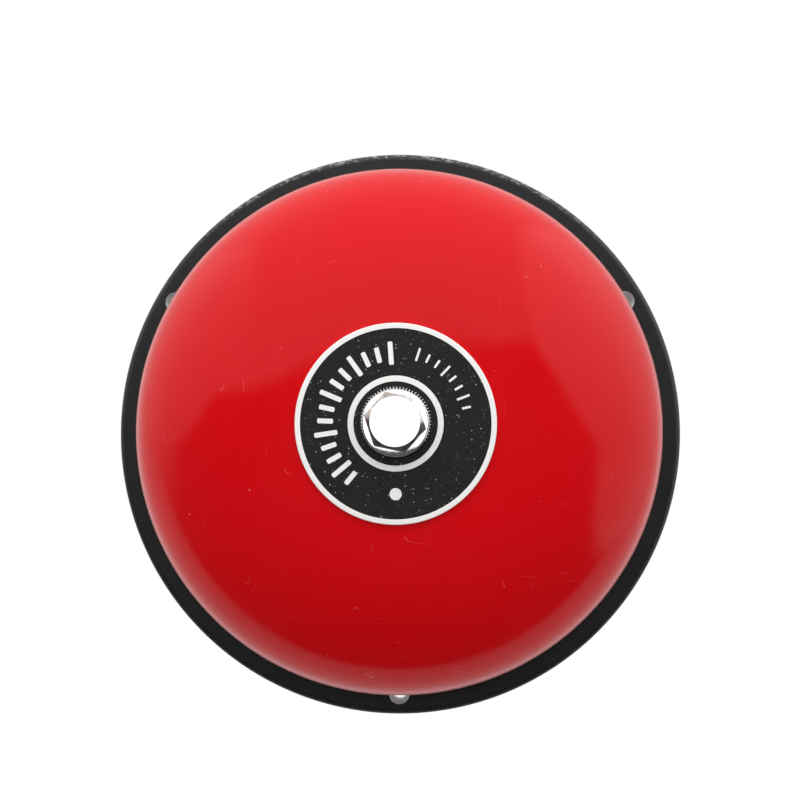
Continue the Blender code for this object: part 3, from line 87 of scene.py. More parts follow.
# Base
BASE_RADIUS = radius_of("base")
BASE_FRONT = 0.013
BASE_DRAFT = 0.0008
BASE_ROUND = 0.0018
BASE_FOOT = 0.0004  # the small chamfers and rounds at the back
PLATE_THICKNESS = 0.0025
PLATE_BACK = BASE_FRONT - PLATE_THICKNESS
MID_PLATE = PLATE_BACK + PLATE_THICKNESS / 2
RIM_THICKNESS = 0.0026
BOSS_RADIUS = 0.019
RIB_THICKNESS = 0.002
RIB_RECESS = 0.001
FIXING_CIRCLE = 0.0754
FIXING_ANGLES = (30, 150, 270)
FIXING_HOLE = 0.00225
FIXING_SINK = 0.0029
FIXING_SINK_DEPTH = 0.001
FIXING_BOSS = 0.0042
CABLE_ENTRY = centre_of("cable_grommet")
CABLE_HOLE = 0.007
GROMMET_BORE = 0.0045
GROMMET_LIP = 0.00075
STANDOFF_RADIUS = 0.0032

# Gong and the stack that the bolt clamps
GONG_BACK, GONG_FRONT = span_out("gong")
GONG_RADIUS = radius_of("gong")
GONG_THICKNESS = 0.0015
GONG_SEAT = 0.022
GONG_HOLE = 0.0052
STACK_BORE = 0.0053
LABEL_FRONT = span_out("label_disc")[1]
LABEL_RADIUS = radius_of("label_disc")
LABEL_BACK = GONG_FRONT - 0.0001
LABEL_EDGE = 0.00025
LABEL_RING = 0.02537  # where the white border starts
INNER_RING = (0.01119, 0.01272)
INK = 0.00003  # thickness of the printed marks
LOCK_WASHER_RADIUS = 0.00935
LOCK_WASHER_THICKNESS = 0.00125
LOCK_WASHER_TEETH = 66
LOCK_WASHER_LIFT = 0.0004  # it sits a little above the bolt's axis
TOOTH_STEPS = 4
TOOTH_DEPTH = 0.085  # share of the radius
PLAIN_WASHER_RADIUS = radius_of("plain_washer")
PLAIN_WASHER_ROUND = 0.00045
WASHER_EDGE = 0.0002
BOLT_BACK, BOLT_FRONT = span_out("gong_bolt")
HEAD_HEIGHT = 0.00635
HEAD_BACK = BOLT_FRONT - HEAD_HEIGHT
BOLT_FLATS = 0.01429
BOLT_CHAMFER = 0.00665  # radius of the head's round flat
BOLT_CHAMFER_SLOPE = 27
BOLT_TURN = 48
SHANK_RADIUS = 0.0047
THREAD_PITCH = 0.0016
THREAD_DEPTH = 0.0005

# Motor's cup in the base
MOTOR = centre_of("motor_can")
CUP_RADIUS = 0.017
CUP_BACK = 0.002
CUP_FLOOR = 0.004
COLLAR_RADIUS = 0.0142
COLLAR_FRONT = 0.016
MOTOR_BORE = 0.0125
LUG_REACH = 0.0195
LUG_BOSS = 0.0045
NOTCH_WIDTH = 0.0072

# The room: how bright its parts look in the gloss, and how bright its soft light is
CEILING = 1.15
DARK_FRONT = 0.09
SIDE_WALLS = 0.95
SIDE_WALLS_RISE = 1.1
WALL_BEHIND = 0.68
SOFT_LIGHT = 0.82
SOFT_LIGHT_RISE = 0.66
SOFT_LIGHT_BEHIND = 1.24
FLOOR_HEIGHT = -0.62


# ---------------------------------------------------------------- shapes

def arc(across, out, radius, start, end, steps):
    """Points along part of a circle in a profile, angles in degrees from straight outwards of the axis."""
    angles = [math.radians(start + (end - start) * step / steps) for step in range(steps + 1)]
    return [(across + radius * math.cos(angle), out + radius * math.sin(angle)) for angle in angles]


def close_up(shape):
    """Merges doubles and points all faces outwards."""
    bmesh.ops.remove_doubles(shape, verts=shape.verts, dist=TOUCH)
    bmesh.ops.dissolve_degenerate(shape, edges=shape.edges, dist=TOUCH)
    bmesh.ops.recalc_face_normals(shape, faces=shape.faces)
    return shape


def spun(profile, centre=(0.0, 0.0), steps=FINE_TURN, closed=False):
    """Spins (radius, out) points about an axis straight out of the wall."""
    across, up = centre
    shape = bmesh.new()
    points = [shape.verts.new((across + radius, -out, up)) for radius, out in profile]
    pairs = list(zip(points, points[1:]))
    if closed:
        pairs.append((points[-1], points[0]))
    edges = [shape.edges.new(pair) for pair in pairs]
    bmesh.ops.spin(
        shape,
        geom=points + edges,
        cent=(across, 0.0, up),
        axis=OUT,
        dvec=(0.0, 0.0, 0.0),
        angle=math.tau,
        steps=steps,
        use_merge=True,
    )
    close_up(shape)
    flat_ends(shape, centre)
    return shape


def flat_ends(shape, centre):
    """Makes each flat end of a spun shape one face, with no point at its middle."""
    across, up = centre
    for point in list(shape.verts):
        if math.hypot(point.co.x - across, point.co.z - up) < TOUCH:
            around = [edge.other_vert(point) for edge in point.link_edges]
            if all(abs(other.co.y - point.co.y) < TOUCH for other in around):
                bmesh.ops.dissolve_verts(shape, verts=[point])


def rod(radius, back, front, centre=(0.0, 0.0), steps=SMALL_TURN):
    """A plain cylinder out of the wall, used to cut or to join."""
    return spun([(0.0, front), (radius, front), (radius, back), (0.0, back)], centre, steps)


def brick(low, high):
    """A box between two corners given as (across, out, up)."""
    shape = bmesh.new()
    bmesh.ops.create_cube(shape, size=1.0)
    start = Vector((low[0], -high[1], low[2]))
    end = Vector((high[0], -low[1], high[2]))
    bmesh.ops.scale(shape, verts=shape.verts, vec=end - start)
    bmesh.ops.translate(shape, verts=shape.verts, vec=(start + end) / 2)
    return shape


def add_shape(shape, other):
    """Puts another shape's faces into a shape, without joining them."""
    mesh = bpy.data.meshes.new("passing")
    other.to_mesh(mesh)
    other.free()
    shape.from_mesh(mesh)
    bpy.data.meshes.remove(mesh)
    return shape


def holder_of(shape, name):
    """An object that holds a shape while it is cut."""
    mesh = bpy.data.meshes.new(name)
    shape.to_mesh(mesh)
    shape.free()
    holder = bpy.data.objects.new(name, mesh)
    bpy.context.scene.collection.objects.link(holder)
    return holder


def joined(shape, other, operation):
    """A shape with another one cut from it, added to it or shared with it."""
    holder = holder_of(shape, "holder")
    tool = holder_of(other, "tool")
    boolean = holder.modifiers.new("joint", "BOOLEAN")
    boolean.operation = operation
    boolean.solver = "EXACT"
    boolean.object = tool
    graph = bpy.context.evaluated_depsgraph_get()
    mesh = bpy.data.meshes.new_from_object(holder.evaluated_get(graph))
    result = bmesh.new()
    result.from_mesh(mesh)
    bpy.data.meshes.remove(mesh)
    for used in (holder, tool):
        data = used.data
        bpy.data.objects.remove(used)
        bpy.data.meshes.remove(data)
    return result


def soften(shape, edges, width, segments=2):
    """Rounds some edges of a shape."""
    if edges:
        bmesh.ops.bevel(
            shape,
            geom=edges,
            offset=width,
            offset_type="OFFSET",
            segments=segments,
            profile=0.5,
            affect="EDGES",
            clamp_overlap=True,
            material=-1,
        )
    return shape


def hard_edges(shape, angle):
    """The edges whose faces meet at more than an angle in degrees."""
    limit = math.radians(angle)
    return [edge for edge in shape.edges if len(edge.link_faces) == 2 and edge.calc_face_angle(0.0) > limit]


def turn_about(shape, centre, degrees):
    """Turns a shape about an axis straight out of the wall."""
    across, up = centre
    turn = Matrix.Rotation(math.radians(degrees), 3, OUT)
    bmesh.ops.rotate(shape, verts=shape.verts, cent=(across, 0.0, up), matrix=turn)
    return shape


def polar(radius, degrees, centre=(0.0, 0.0)):
    """A point (across, up) at a distance and an angle."""
    angle = math.radians(degrees)
    return centre[0] + radius * math.cos(angle), centre[1] + radius * math.sin(angle)


def finished(name, shape, materials, nodes=(), body="housing", angle=SMOOTH_ANGLE):
    """Makes a shape a named piece of the bell. Edges sharper than an angle in degrees stay sharp."""
    mesh = bpy.data.meshes.new(name)
    shape.to_mesh(mesh)
    shape.free()
    mesh.shade_smooth()
    mesh.set_sharp_from_angle(angle=math.radians(angle))
    place_piece(name, mesh, materials, nodes, body)


def finished_soft(name, shape, materials, nodes, body):
    """Makes a shape with rounded edges a named piece whose large faces shade flat."""
    shape.normal_update()
    normals = []
    for point in shape.verts:
        total = Vector()
        for face in point.link_faces:
            total += face.normal * face.calc_area()
        normals.append(total.normalized())
    mesh = bpy.data.meshes.new(name)
    shape.to_mesh(mesh)
    shape.free()
    mesh.shade_smooth()
    mesh.normals_split_custom_set_from_vertices(normals)
    place_piece(name, mesh, materials, nodes, body)


def place_piece(name, mesh, materials, nodes, body):
    """Puts a finished mesh in the scene in place of its nodes."""
    for material in materials:
        mesh.materials.append(material)
    piece = bpy.data.objects.new(name, mesh)
    bpy.context.scene.collection.objects.link(piece)
    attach(piece, body)
    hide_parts(*nodes)


# ---------------------------------------------------------------- shader node groups

def fill(tree, socket, value):
    """Gives a socket a value, or a link if the value is another socket."""
    if isinstance(value, bpy.types.NodeSocket):
        tree.links.new(value, socket)
    else:
        socket.default_value = value


def put(tree, kind, inputs, **settings):
    """Adds a node, sets it up, and fills its inputs from values or from other sockets."""
    made = tree.nodes.new(kind)
    for name, value in settings.items():
        setattr(made, name, value)
    for key, value in inputs.items():
        fill(tree, made.inputs[key], value)
    return made


def new_group(name, inputs, outputs):
    """An empty node group with named sockets, and its two end nodes."""
    group = bpy.data.node_groups.new(name, "ShaderNodeTree")
    for label, kind, value in inputs:
        socket = group.interface.new_socket(label, in_out="INPUT", socket_type=kind)
        if value is not None:
            socket.default_value = value
    for label, kind in outputs:
        group.interface.new_socket(label, in_out="OUTPUT", socket_type=kind)
    return group, group.nodes.new("NodeGroupInput"), group.nodes.new("NodeGroupOutput")


def maths(tree, operation, first, second=0.0, third=0.0):
    """A Math node's output."""
    return put(tree, "ShaderNodeMath", {0: first, 1: second, 2: third}, operation=operation).outputs[0]


def between(tree, value, low, high, start=0.0, end=1.0):
    """A smooth step of a value from one level to another."""
    inputs = {"Value": value, "From Min": low, "From Max": high, "To Min": start, "To Max": end}
    return put(tree, "ShaderNodeMapRange", inputs, interpolation_type="SMOOTHSTEP").outputs["Result"]


def make_mottle():
    """Soft patches: how a surface varies over centimetres."""
    group, given, result = new_group(
        "mottle",
        [
            ("Vector", "NodeSocketVector", None),
            ("Scale", "NodeSocketFloat", 60.0),
            ("Low", "NodeSocketFloat", 0.0),
            ("High", "NodeSocketFloat", 1.0),
        ],
        [("Value", "NodeSocketFloat")],
    )
    noise = put(
        group,
        "ShaderNodeTexNoise",
        {
            "Vector": given.outputs["Vector"],
            "Scale": given.outputs["Scale"],
            "Detail": 4.0,
            "Roughness": 0.6,
        },
    )
    spread = put(
        group,
        "ShaderNodeMapRange",
        {
            "Value": noise.outputs["Fac"],
            "From Min": 0.32,
            "From Max": 0.68,
            "To Min": given.outputs["Low"],
            "To Max": given.outputs["High"],
        },
    )
    group.links.new(spread.outputs["Result"], result.inputs["Value"])
    return group


def make_grain():
    """A fine grain as a surface normal."""
    group, given, result = new_group(
        "grain",
        [
            ("Vector", "NodeSocketVector", None),
            ("Scale", "NodeSocketFloat", 2000.0),
            ("Strength", "NodeSocketFloat", 0.1),
            ("Depth", "NodeSocketFloat", 0.00002),
        ],
        [("Normal", "NodeSocketVector")],
    )
    noise = put(
        group,
        "ShaderNodeTexNoise",
        {"Vector": given.outputs["Vector"], "Scale": given.outputs["Scale"], "Detail": 2.0},
    )
    bump = put(
        group,
        "ShaderNodeBump",
        {
            "Height": noise.outputs["Fac"],
            "Strength": given.outputs["Strength"],
            "Distance": given.outputs["Depth"],
        },
    )
    group.links.new(bump.outputs["Normal"], result.inputs["Normal"])
    return group


def make_dust():
    """Sparse specks of dust: a mask of small spots."""
    group, given, result = new_group(
        "dust",
        [
            ("Vector", "NodeSocketVector", None),
            ("Scale", "NodeSocketFloat", 700.0),
            ("Size", "NodeSocketFloat", 0.12),
            ("Share", "NodeSocketFloat", 0.1),
        ],
        [("Mask", "NodeSocketFloat")],
    )
    cells = put(
        group,
        "ShaderNodeTexVoronoi",
        {"Vector": given.outputs["Vector"], "Scale": given.outputs["Scale"]},
    )
    near = maths(group, "LESS_THAN", cells.outputs["Distance"], given.outputs["Size"])
    parts = put(group, "ShaderNodeSeparateColor", {"Color": cells.outputs["Color"]})
    chosen = maths(group, "LESS_THAN", parts.outputs["Red"], given.outputs["Share"])
    faint = maths(group, "MULTIPLY", parts.outputs["Green"], chosen)
    group.links.new(maths(group, "MULTIPLY", near, faint), result.inputs["Mask"])
    return group


def make_scratches():
    """Sparse hair-thin scratches in two directions."""
    group, given, result = new_group(
        "scratches",
        [
            ("Vector", "NodeSocketVector", None),
            ("Scale", "NodeSocketFloat", 90.0),
            ("Width", "NodeSocketFloat", 0.012),
            ("Share", "NodeSocketFloat", 0.3),
        ],
        [("Mask", "NodeSocketFloat")],
    )
    masks = []
    for turn, stretch in ((0.5, (1.0, 1.0, 0.16)), (1.9, (0.2, 1.0, 1.0))):
        placed = put(
            group,
            "ShaderNodeMapping",
            {"Vector": given.outputs["Vector"], "Rotation": (0.0, turn, 0.0), "Scale": stretch},
        )
        veins = put(
            group,
            "ShaderNodeTexNoise",
            {"Vector": placed.outputs["Vector"], "Scale": given.outputs["Scale"], "Detail": 1.0},
        )
        off = maths(group, "SUBTRACT", veins.outputs["Fac"], 0.5)
        line = maths(group, "LESS_THAN", maths(group, "ABSOLUTE", off), given.outputs["Width"])
        patches = put(
            group,
            "ShaderNodeTexNoise",
            {"Vector": given.outputs["Vector"], "Scale": given.outputs["Scale"], "Detail": 3.0},
        )
        least = maths(group, "SUBTRACT", 1.0, given.outputs["Share"])
        kept = maths(group, "GREATER_THAN", patches.outputs["Fac"], least)
        masks.append(maths(group, "MULTIPLY", line, kept))
    group.links.new(maths(group, "MAXIMUM", masks[0], masks[1]), result.inputs["Mask"])
    return group


def make_from_axis():
    """How far a point is from the bell's own axis."""
    group, given, result = new_group(
        "from_axis", [("Vector", "NodeSocketVector", None)], [("Radius", "NodeSocketFloat")]
    )
    across_and_up = {0: given.outputs["Vector"], 1: (1.0, 0.0, 1.0)}
    flat = put(group, "ShaderNodeVectorMath", across_and_up, operation="MULTIPLY")
    length = put(group, "ShaderNodeVectorMath", {0: flat.outputs["Vector"]}, operation="LENGTH")
    group.links.new(length.outputs["Value"], result.inputs["Radius"])
    return group


GROUPS = {
    "mottle": make_mottle(),
    "grain": make_grain(),
    "dust": make_dust(),
    "scratches": make_scratches(),
    "from_axis": make_from_axis(),
}


# ---------------------------------------------------------------- materials

def use(tree, name, inputs):
    """Places a shared effect in a material."""
    return put(tree, "ShaderNodeGroup", inputs, node_tree=GROUPS[name]).outputs[0]


def mixed(tree, mask, first, second):
    """A colour between two colours."""
    node = put(tree, "ShaderNodeMix", {"Factor": mask}, data_type="RGBA")
    colours_in = [socket for socket in node.inputs if socket.type == "RGBA"]
    for socket, value in zip(colours_in, (first, second)):
        fill(tree, socket, value if isinstance(value, bpy.types.NodeSocket) else (*value, 1.0))
    return next(socket for socket in node.outputs if socket.type == "RGBA")


def new_material(name):
    """A material with a bare Principled shader, and its Object coordinates."""
    material = bpy.data.materials.new(name)
    material.use_nodes = True
    tree = material.node_tree
    shader = tree.nodes["Principled BSDF"]
    place = tree.nodes.new("ShaderNodeTexCoord").outputs["Object"]
    return material, tree, shader, place


def plain_finish(
    name, colour, other, roughness, metallic=0.0, patches=80.0, grain=1500.0, bump=0.15, dust=0.0, milky=0.0
):
    """A plain finish: colour between two shades, uneven gloss, grain and a little dust."""
    material, tree, shader, place = new_material(name)
    shade = use(tree, "mottle", {"Vector": place, "Scale": patches})
    base = mixed(tree, shade, colour, other)
    if dust:
        specks = use(tree, "dust", {"Vector": place, "Share": dust})
        base = mixed(tree, maths(tree, "MULTIPLY", specks, 0.35), base, (0.55, 0.54, 0.5))
    low, high = roughness
    gloss = use(tree, "mottle", {"Vector": place, "Scale": patches * 3.1, "Low": low, "High": high})
    normal = use(tree, "grain", {"Vector": place, "Scale": grain, "Strength": bump})
    tree.links.new(base, shader.inputs["Base Color"])
    tree.links.new(gloss, shader.inputs["Roughness"])
    tree.links.new(normal, shader.inputs["Normal"])
    shader.inputs["Metallic"].default_value = metallic
    shader.inputs["Subsurface Weight"].default_value = milky
    return material


def red_gloss():
    """Smooth gloss paint: a trace of orange peel, dust specks, hair scratches and a hazy sheen."""
    material, tree, shader, place = new_material("red_gloss")
    shade = use(tree, "mottle", {"Vector": place, "Scale": 22.0})
    paint = mixed(tree, shade, (0.66, 0.0014, 0.0049), (0.635, 0.0012, 0.0046))
    for scale, size, share, strength in ((420.0, 0.06, 0.16, 0.4), (230.0, 0.05, 0.1, 0.6)):
        specks = use(tree, "dust", {"Vector": place, "Scale": scale, "Size": size, "Share": share})
        paint = mixed(tree, maths(tree, "MULTIPLY", specks, strength), paint, (0.9, 0.5, 0.46))
    marks = use(tree, "scratches", {"Vector": place, "Scale": 110.0, "Width": 0.0022, "Share": 0.37})
    paint = mixed(tree, maths(tree, "MULTIPLY", marks, 0.12), paint, (0.9, 0.35, 0.33))
    gloss = use(tree, "mottle", {"Vector": place, "Scale": 45.0, "Low": 0.07, "High": 0.16})
    gloss = maths(tree, "ADD", gloss, maths(tree, "MULTIPLY", marks, 0.2))
    peel = use(tree, "grain", {"Vector": place, "Scale": 420.0, "Strength": 0.05, "Depth": 0.00003})
    tree.links.new(paint, shader.inputs["Base Color"])
    tree.links.new(gloss, shader.inputs["Roughness"])
    tree.links.new(peel, shader.inputs["Normal"])
    shader.inputs["IOR"].default_value = 1.3
    shader.inputs["Sheen Weight"].default_value = 0.6
    shader.inputs["Sheen Roughness"].default_value = 0.25
    shader.inputs["Sheen Tint"].default_value = (1.0, 0.68, 0.66, 1.0)
    return material


def black_moulding():
    """Satin black plastic, with a painted highlight along the top of its front edge, and real scuffs shown
    only there.
    """
    material, tree, shader, place = new_material("black_moulding")
    shade = use(tree, "mottle", {"Vector": place, "Scale": 90.0})
    plastic = mixed(tree, shade, (0.0062, 0.0062, 0.0065), (0.0092, 0.0092, 0.0095))
    radius = use(tree, "from_axis", {"Vector": place})
    near_edge = between(tree, radius, BASE_RADIUS - BASE_ROUND * 1.5, BASE_RADIUS - BASE_DRAFT * 1.5)
    parts = put(tree, "ShaderNodeSeparateXYZ", {"Vector": place})
    near_front = between(tree, parts.outputs["Y"], 0.0025 - BASE_FRONT, 0.0008 - BASE_FRONT)
    # Painted highlight: this mask is strong only near the top, where light catches the rounded front edge.
    top_highlight_mask = between(tree, parts.outputs["Z"], 0.05, 0.078, 0.04, 1.0)
    scuffs = use(tree, "scratches", {"Vector": place, "Scale": 600.0, "Width": 0.045, "Share": 0.49})
    # The top of the front edge is made paler evenly, which is a painted highlight; the scuffs there are real
    # wear, shown only along that lit top.
    edge_highlight_and_wear = maths(tree, "MULTIPLY", maths(tree, "MULTIPLY", near_edge, near_front), top_highlight_mask)
    plastic = mixed(tree, maths(tree, "MULTIPLY", edge_highlight_and_wear, 0.12), plastic, (0.3, 0.3, 0.3))
    scuffs_and_highlight = maths(tree, "MULTIPLY", scuffs, edge_highlight_and_wear)
    plastic = mixed(tree, scuffs_and_highlight, plastic, (0.3, 0.3, 0.3))
    specks = use(tree, "dust", {"Vector": place, "Scale": 520.0, "Size": 0.09, "Share": 0.12})
    plastic = mixed(tree, maths(tree, "MULTIPLY", specks, 0.3), plastic, (0.45, 0.45, 0.43))
    gloss = use(tree, "mottle", {"Vector": place, "Scale": 150.0, "Low": 0.36, "High": 0.52})
    grain = use(tree, "grain", {"Vector": place, "Scale": 2600.0, "Strength": 0.25, "Depth": 0.00003})
    tree.links.new(plastic, shader.inputs["Base Color"])
    tree.links.new(gloss, shader.inputs["Roughness"])
    tree.links.new(grain, shader.inputs["Normal"])
    return material


def label_black():
    """The label's black print, with fine dust and rubbed marks."""
    material, tree, shader, place = new_material("label_black")
    shade = use(tree, "mottle", {"Vector": place, "Scale": 160.0})
    print_black = mixed(tree, shade, (0.0062, 0.0062, 0.0062), (0.0106, 0.0103, 0.01))
    for scale, size, share, strength in ((1500.0, 0.24, 0.2, 0.8), (800.0, 0.15, 0.12, 0.8)):
        specks = use(tree, "dust", {"Vector": place, "Scale": scale, "Size": size, "Share": share})
        specks = maths(tree, "MULTIPLY", specks, strength)
        print_black = mixed(tree, specks, print_black, (0.55, 0.55, 0.53))
    rubs = use(tree, "scratches", {"Vector": place, "Scale": 420.0, "Width": 0.006, "Share": 0.38})
    print_black = mixed(tree, maths(tree, "MULTIPLY", rubs, 0.05), print_black, (0.4, 0.4, 0.4))
    gloss = use(tree, "mottle", {"Vector": place, "Scale": 200.0, "Low": 0.44, "High": 0.54})
    grain = use(tree, "grain", {"Vector": place, "Scale": 1800.0, "Strength": 0.12})
    shader.inputs["IOR"].default_value = 1.4
    tree.links.new(print_black, shader.inputs["Base Color"])
    tree.links.new(gloss, shader.inputs["Roughness"])
    tree.links.new(grain, shader.inputs["Normal"])
    return material


BLACK_MOULDING = black_moulding()
RED_GLOSS = red_gloss()
LABEL_BLACK = label_black()
# Pale grey for the walls of the black base's fixing holes: painted light, standing in for light reflected in
# and seen through the holes, not the plastic's own colour.
HOLE_PAINTED_LIGHT = plain_finish(
    "hole_wall_painted_light", (0.62, 0.62, 0.62), (0.78, 0.78, 0.77), (0.4, 0.55), patches=700.0, bump=0.3
)
LABEL_WHITE = plain_finish(
    "label_white", (0.95, 0.94, 0.92), (0.9, 0.89, 0.87), (0.35, 0.5), patches=300.0, dust=0.05
)
CHROME = plain_finish(
    "chrome", (0.86, 0.86, 0.87), (0.8, 0.79, 0.79), (0.03, 0.08), 1.0, patches=400.0, grain=900.0, bump=0.02
)
WORN_CHROME = plain_finish(
    "worn_chrome", (0.3, 0.22, 0.19), (0.88, 0.86, 0.84), (0.05, 0.2), 1.0,
    patches=260.0, grain=900.0, bump=0.1,
)
ZINC = plain_finish(
    "zinc_plate", (0.66, 0.66, 0.65), (0.56, 0.57, 0.58), (0.2, 0.34), 1.0,
    patches=260.0, grain=1600.0, bump=0.04,
)
BRIGHT_ZINC = plain_finish(
    "bright_zinc", (0.74, 0.74, 0.73), (0.66, 0.66, 0.65), (0.1, 0.2), 1.0, patches=500.0, bump=0.04
)
STEEL = plain_finish(
    "bright_steel", (0.6, 0.6, 0.61), (0.5, 0.5, 0.5), (0.18, 0.3), 1.0,
    patches=300.0, grain=1800.0, bump=0.04,
)
CASTING = plain_finish(
    "zinc_casting", (0.5, 0.5, 0.51), (0.4, 0.4, 0.4), (0.36, 0.52), 1.0,
    patches=500.0, grain=1800.0, bump=0.4,
)
BRASS = plain_finish("brass", (0.78, 0.56, 0.24), (0.6, 0.42, 0.19), (0.2, 0.36), 1.0, patches=500.0)
BRONZE = plain_finish(
    "bronze", (0.46, 0.3, 0.16), (0.34, 0.21, 0.11), (0.4, 0.6), 1.0, patches=700.0, bump=0.4
)
COPPER = plain_finish("copper", (0.78, 0.36, 0.2), (0.62, 0.26, 0.13), (0.22, 0.4), 1.0, patches=500.0)
WHITE_NYLON = plain_finish(
    "white_nylon", (0.78, 0.77, 0.72), (0.7, 0.69, 0.63), (0.4, 0.55), patches=300.0, dust=0.04, milky=0.1
)
GREY_NYLON = plain_finish(
    "grey_nylon", (0.3, 0.3, 0.31), (0.25, 0.25, 0.26), (0.42, 0.6), patches=300.0, grain=2200.0, bump=0.3
)
RUBBER = plain_finish(
    "black_rubber", (0.014, 0.014, 0.014), (0.026, 0.026, 0.025), (0.6, 0.8),
    patches=300.0, bump=0.4, dust=0.1,
)
FERRITE = plain_finish(
    "ferrite", (0.05, 0.05, 0.054), (0.075, 0.074, 0.074), (0.45, 0.6), patches=500.0, bump=0.3
)
CARBON = plain_finish("carbon", (0.03, 0.03, 0.03), (0.05, 0.05, 0.05), (0.5, 0.65), patches=700.0, bump=0.4)
BOARD_GREEN = plain_finish(
    "board_green", (0.012, 0.13, 0.045), (0.018, 0.17, 0.062), (0.22, 0.36), patches=250.0, dust=0.06
)
TERMINAL_GREEN = plain_finish(
    "terminal_green", (0.03, 0.29, 0.12), (0.026, 0.24, 0.1), (0.34, 0.48), patches=400.0
)
SLEEVE = plain_finish(
    "capacitor_sleeve", (0.018, 0.026, 0.085), (0.024, 0.034, 0.1), (0.2, 0.34), patches=400.0
)
VARISTOR = plain_finish(
    "varistor_blue", (0.025, 0.11, 0.38), (0.03, 0.13, 0.44), (0.25, 0.4), patches=500.0, bump=0.4
)
LEAD_RED = plain_finish(
    "lead_red", (0.48, 0.014, 0.014), (0.4, 0.012, 0.012), (0.35, 0.5), patches=400.0, dust=0.05
)
LEAD_BLACK = plain_finish(
    "lead_black", (0.014, 0.014, 0.014), (0.022, 0.022, 0.022), (0.35, 0.5), patches=400.0, dust=0.08
)


# ---------------------------------------------------------------- base

def base_ribs():
    """Six ribs from the solid centre to the rim."""
    ribs = bmesh.new()
    for degrees in range(30, 390, 60):
        low = (BOSS_RADIUS - OVERLAP, RIB_RECESS, -RIB_THICKNESS / 2)
        high = (BASE_RADIUS - RIM_THICKNESS / 2, PLATE_BACK + OVERLAP, RIB_THICKNESS / 2)
        add_shape(ribs, turn_about(brick(low, high), (0.0, 0.0), degrees))
    return ribs


def base_bosses():
    """Bosses for the wall screws, the motor cap's screws and the board's screws."""
    bosses = bmesh.new()
    for degrees in FIXING_ANGLES:
        add_shape(bosses, rod(FIXING_BOSS, 0.0, MID_PLATE, polar(FIXING_CIRCLE, degrees)))
    for side in (-1, 1):
        lug = (MOTOR[0], MOTOR[1] + side * LUG_REACH)
        add_shape(bosses, rod(LUG_BOSS, CUP_FLOOR, MID_PLATE, lug))
    for screw in ("board_screw_upper", "board_screw_lower"):
        add_shape(bosses, rod(STANDOFF_RADIUS, MID_PLATE, span_out("circuit_board")[0], centre_of(screw)))
    return bosses


def base_holes():
    """The cuts through the base's front: wall fixings, cable entry and screw holes."""
    holes = bmesh.new()
    over = BASE_FRONT + OVER
    slope = (FIXING_SINK - FIXING_HOLE) / FIXING_SINK_DEPTH
    for degrees in FIXING_ANGLES:
        profile = [
            (0.0, over),
            (FIXING_SINK + OVER * slope, over),
            (FIXING_HOLE, BASE_FRONT - FIXING_SINK_DEPTH),
            (FIXING_HOLE, -OVER),
            (0.0, -OVER),
        ]
        add_shape(holes, spun(profile, polar(FIXING_CIRCLE, degrees), SMALL_TURN))
    add_shape(holes, rod(CABLE_HOLE, PLATE_BACK - OVER, over, CABLE_ENTRY, MIDDLE_TURN))
    return holes


def in_fixing_hole(face):
    """Whether a face is a wall of one of the fixing holes."""
    middle = face.calc_center_median()
    nearest = min(
        math.hypot(middle.x - across, middle.z - up)
        for across, up in (polar(FIXING_CIRCLE, degrees) for degrees in FIXING_ANGLES)
    )
    return nearest < FIXING_SINK - 0.00002 and abs(face.normal.y) < 0.99


def make_base():
    """The black moulded base, with its rounded front edge and everything moulded into its back."""
    front_radius = BASE_RADIUS - BASE_DRAFT
    edge = front_radius - BASE_ROUND
    foot = BASE_FOOT
    profile = [
        (0.0, BASE_FRONT),
        *arc(edge, BASE_FRONT - BASE_ROUND, BASE_ROUND, 90, 2, 12),
        (BASE_RADIUS, foot),
        (BASE_RADIUS - foot, 0.0),
        (BASE_RADIUS - RIM_THICKNESS + foot, 0.0),
        (BASE_RADIUS - RIM_THICKNESS, foot),
        *arc(front_radius - RIM_THICKNESS - foot, PLATE_BACK - foot, foot, 0, 90, 4),
        *arc(BOSS_RADIUS + foot, PLATE_BACK - foot, foot, 90, 180, 4),
        (BOSS_RADIUS, foot),
        (BOSS_RADIUS - foot, 0.0),
        (0.0, 0.0),
    ]
    base = spun(profile)
    base = joined(base, base_ribs(), "UNION")
    base = joined(base, base_bosses(), "UNION")
    cup = [
        (0.0, COLLAR_FRONT),
        (COLLAR_RADIUS, COLLAR_FRONT),
        (COLLAR_RADIUS, MID_PLATE),
        (CUP_RADIUS, MID_PLATE),
        (CUP_RADIUS, CUP_BACK + foot),
        (CUP_RADIUS - foot, CUP_BACK),
        (0.0, CUP_BACK),
    ]
    base = joined(base, spun(cup, MOTOR, MIDDLE_TURN), "UNION")
    bore = rod(MOTOR_BORE, CUP_FLOOR, COLLAR_FRONT + OVER, MOTOR, MIDDLE_TURN)
    base = joined(base, bore, "DIFFERENCE")
    base = joined(base, base_holes(), "DIFFERENCE")
    low = (MOTOR[0] - COLLAR_RADIUS - OVER, CUP_FLOOR + 0.0003, -NOTCH_WIDTH / 2)
    high = (MOTOR[0] - MOTOR_BORE + 0.0006, COLLAR_FRONT + OVER, NOTCH_WIDTH / 2)
    base = joined(base, brick(low, high), "DIFFERENCE")
    # The fixing holes' walls get the pale material, which is painted light in the holes.
    for face in base.faces:
        if in_fixing_hole(face):
            face.material_index = 1
    finished("moulded_base", base, [BLACK_MOULDING, HOLE_PAINTED_LIGHT], ["base"])


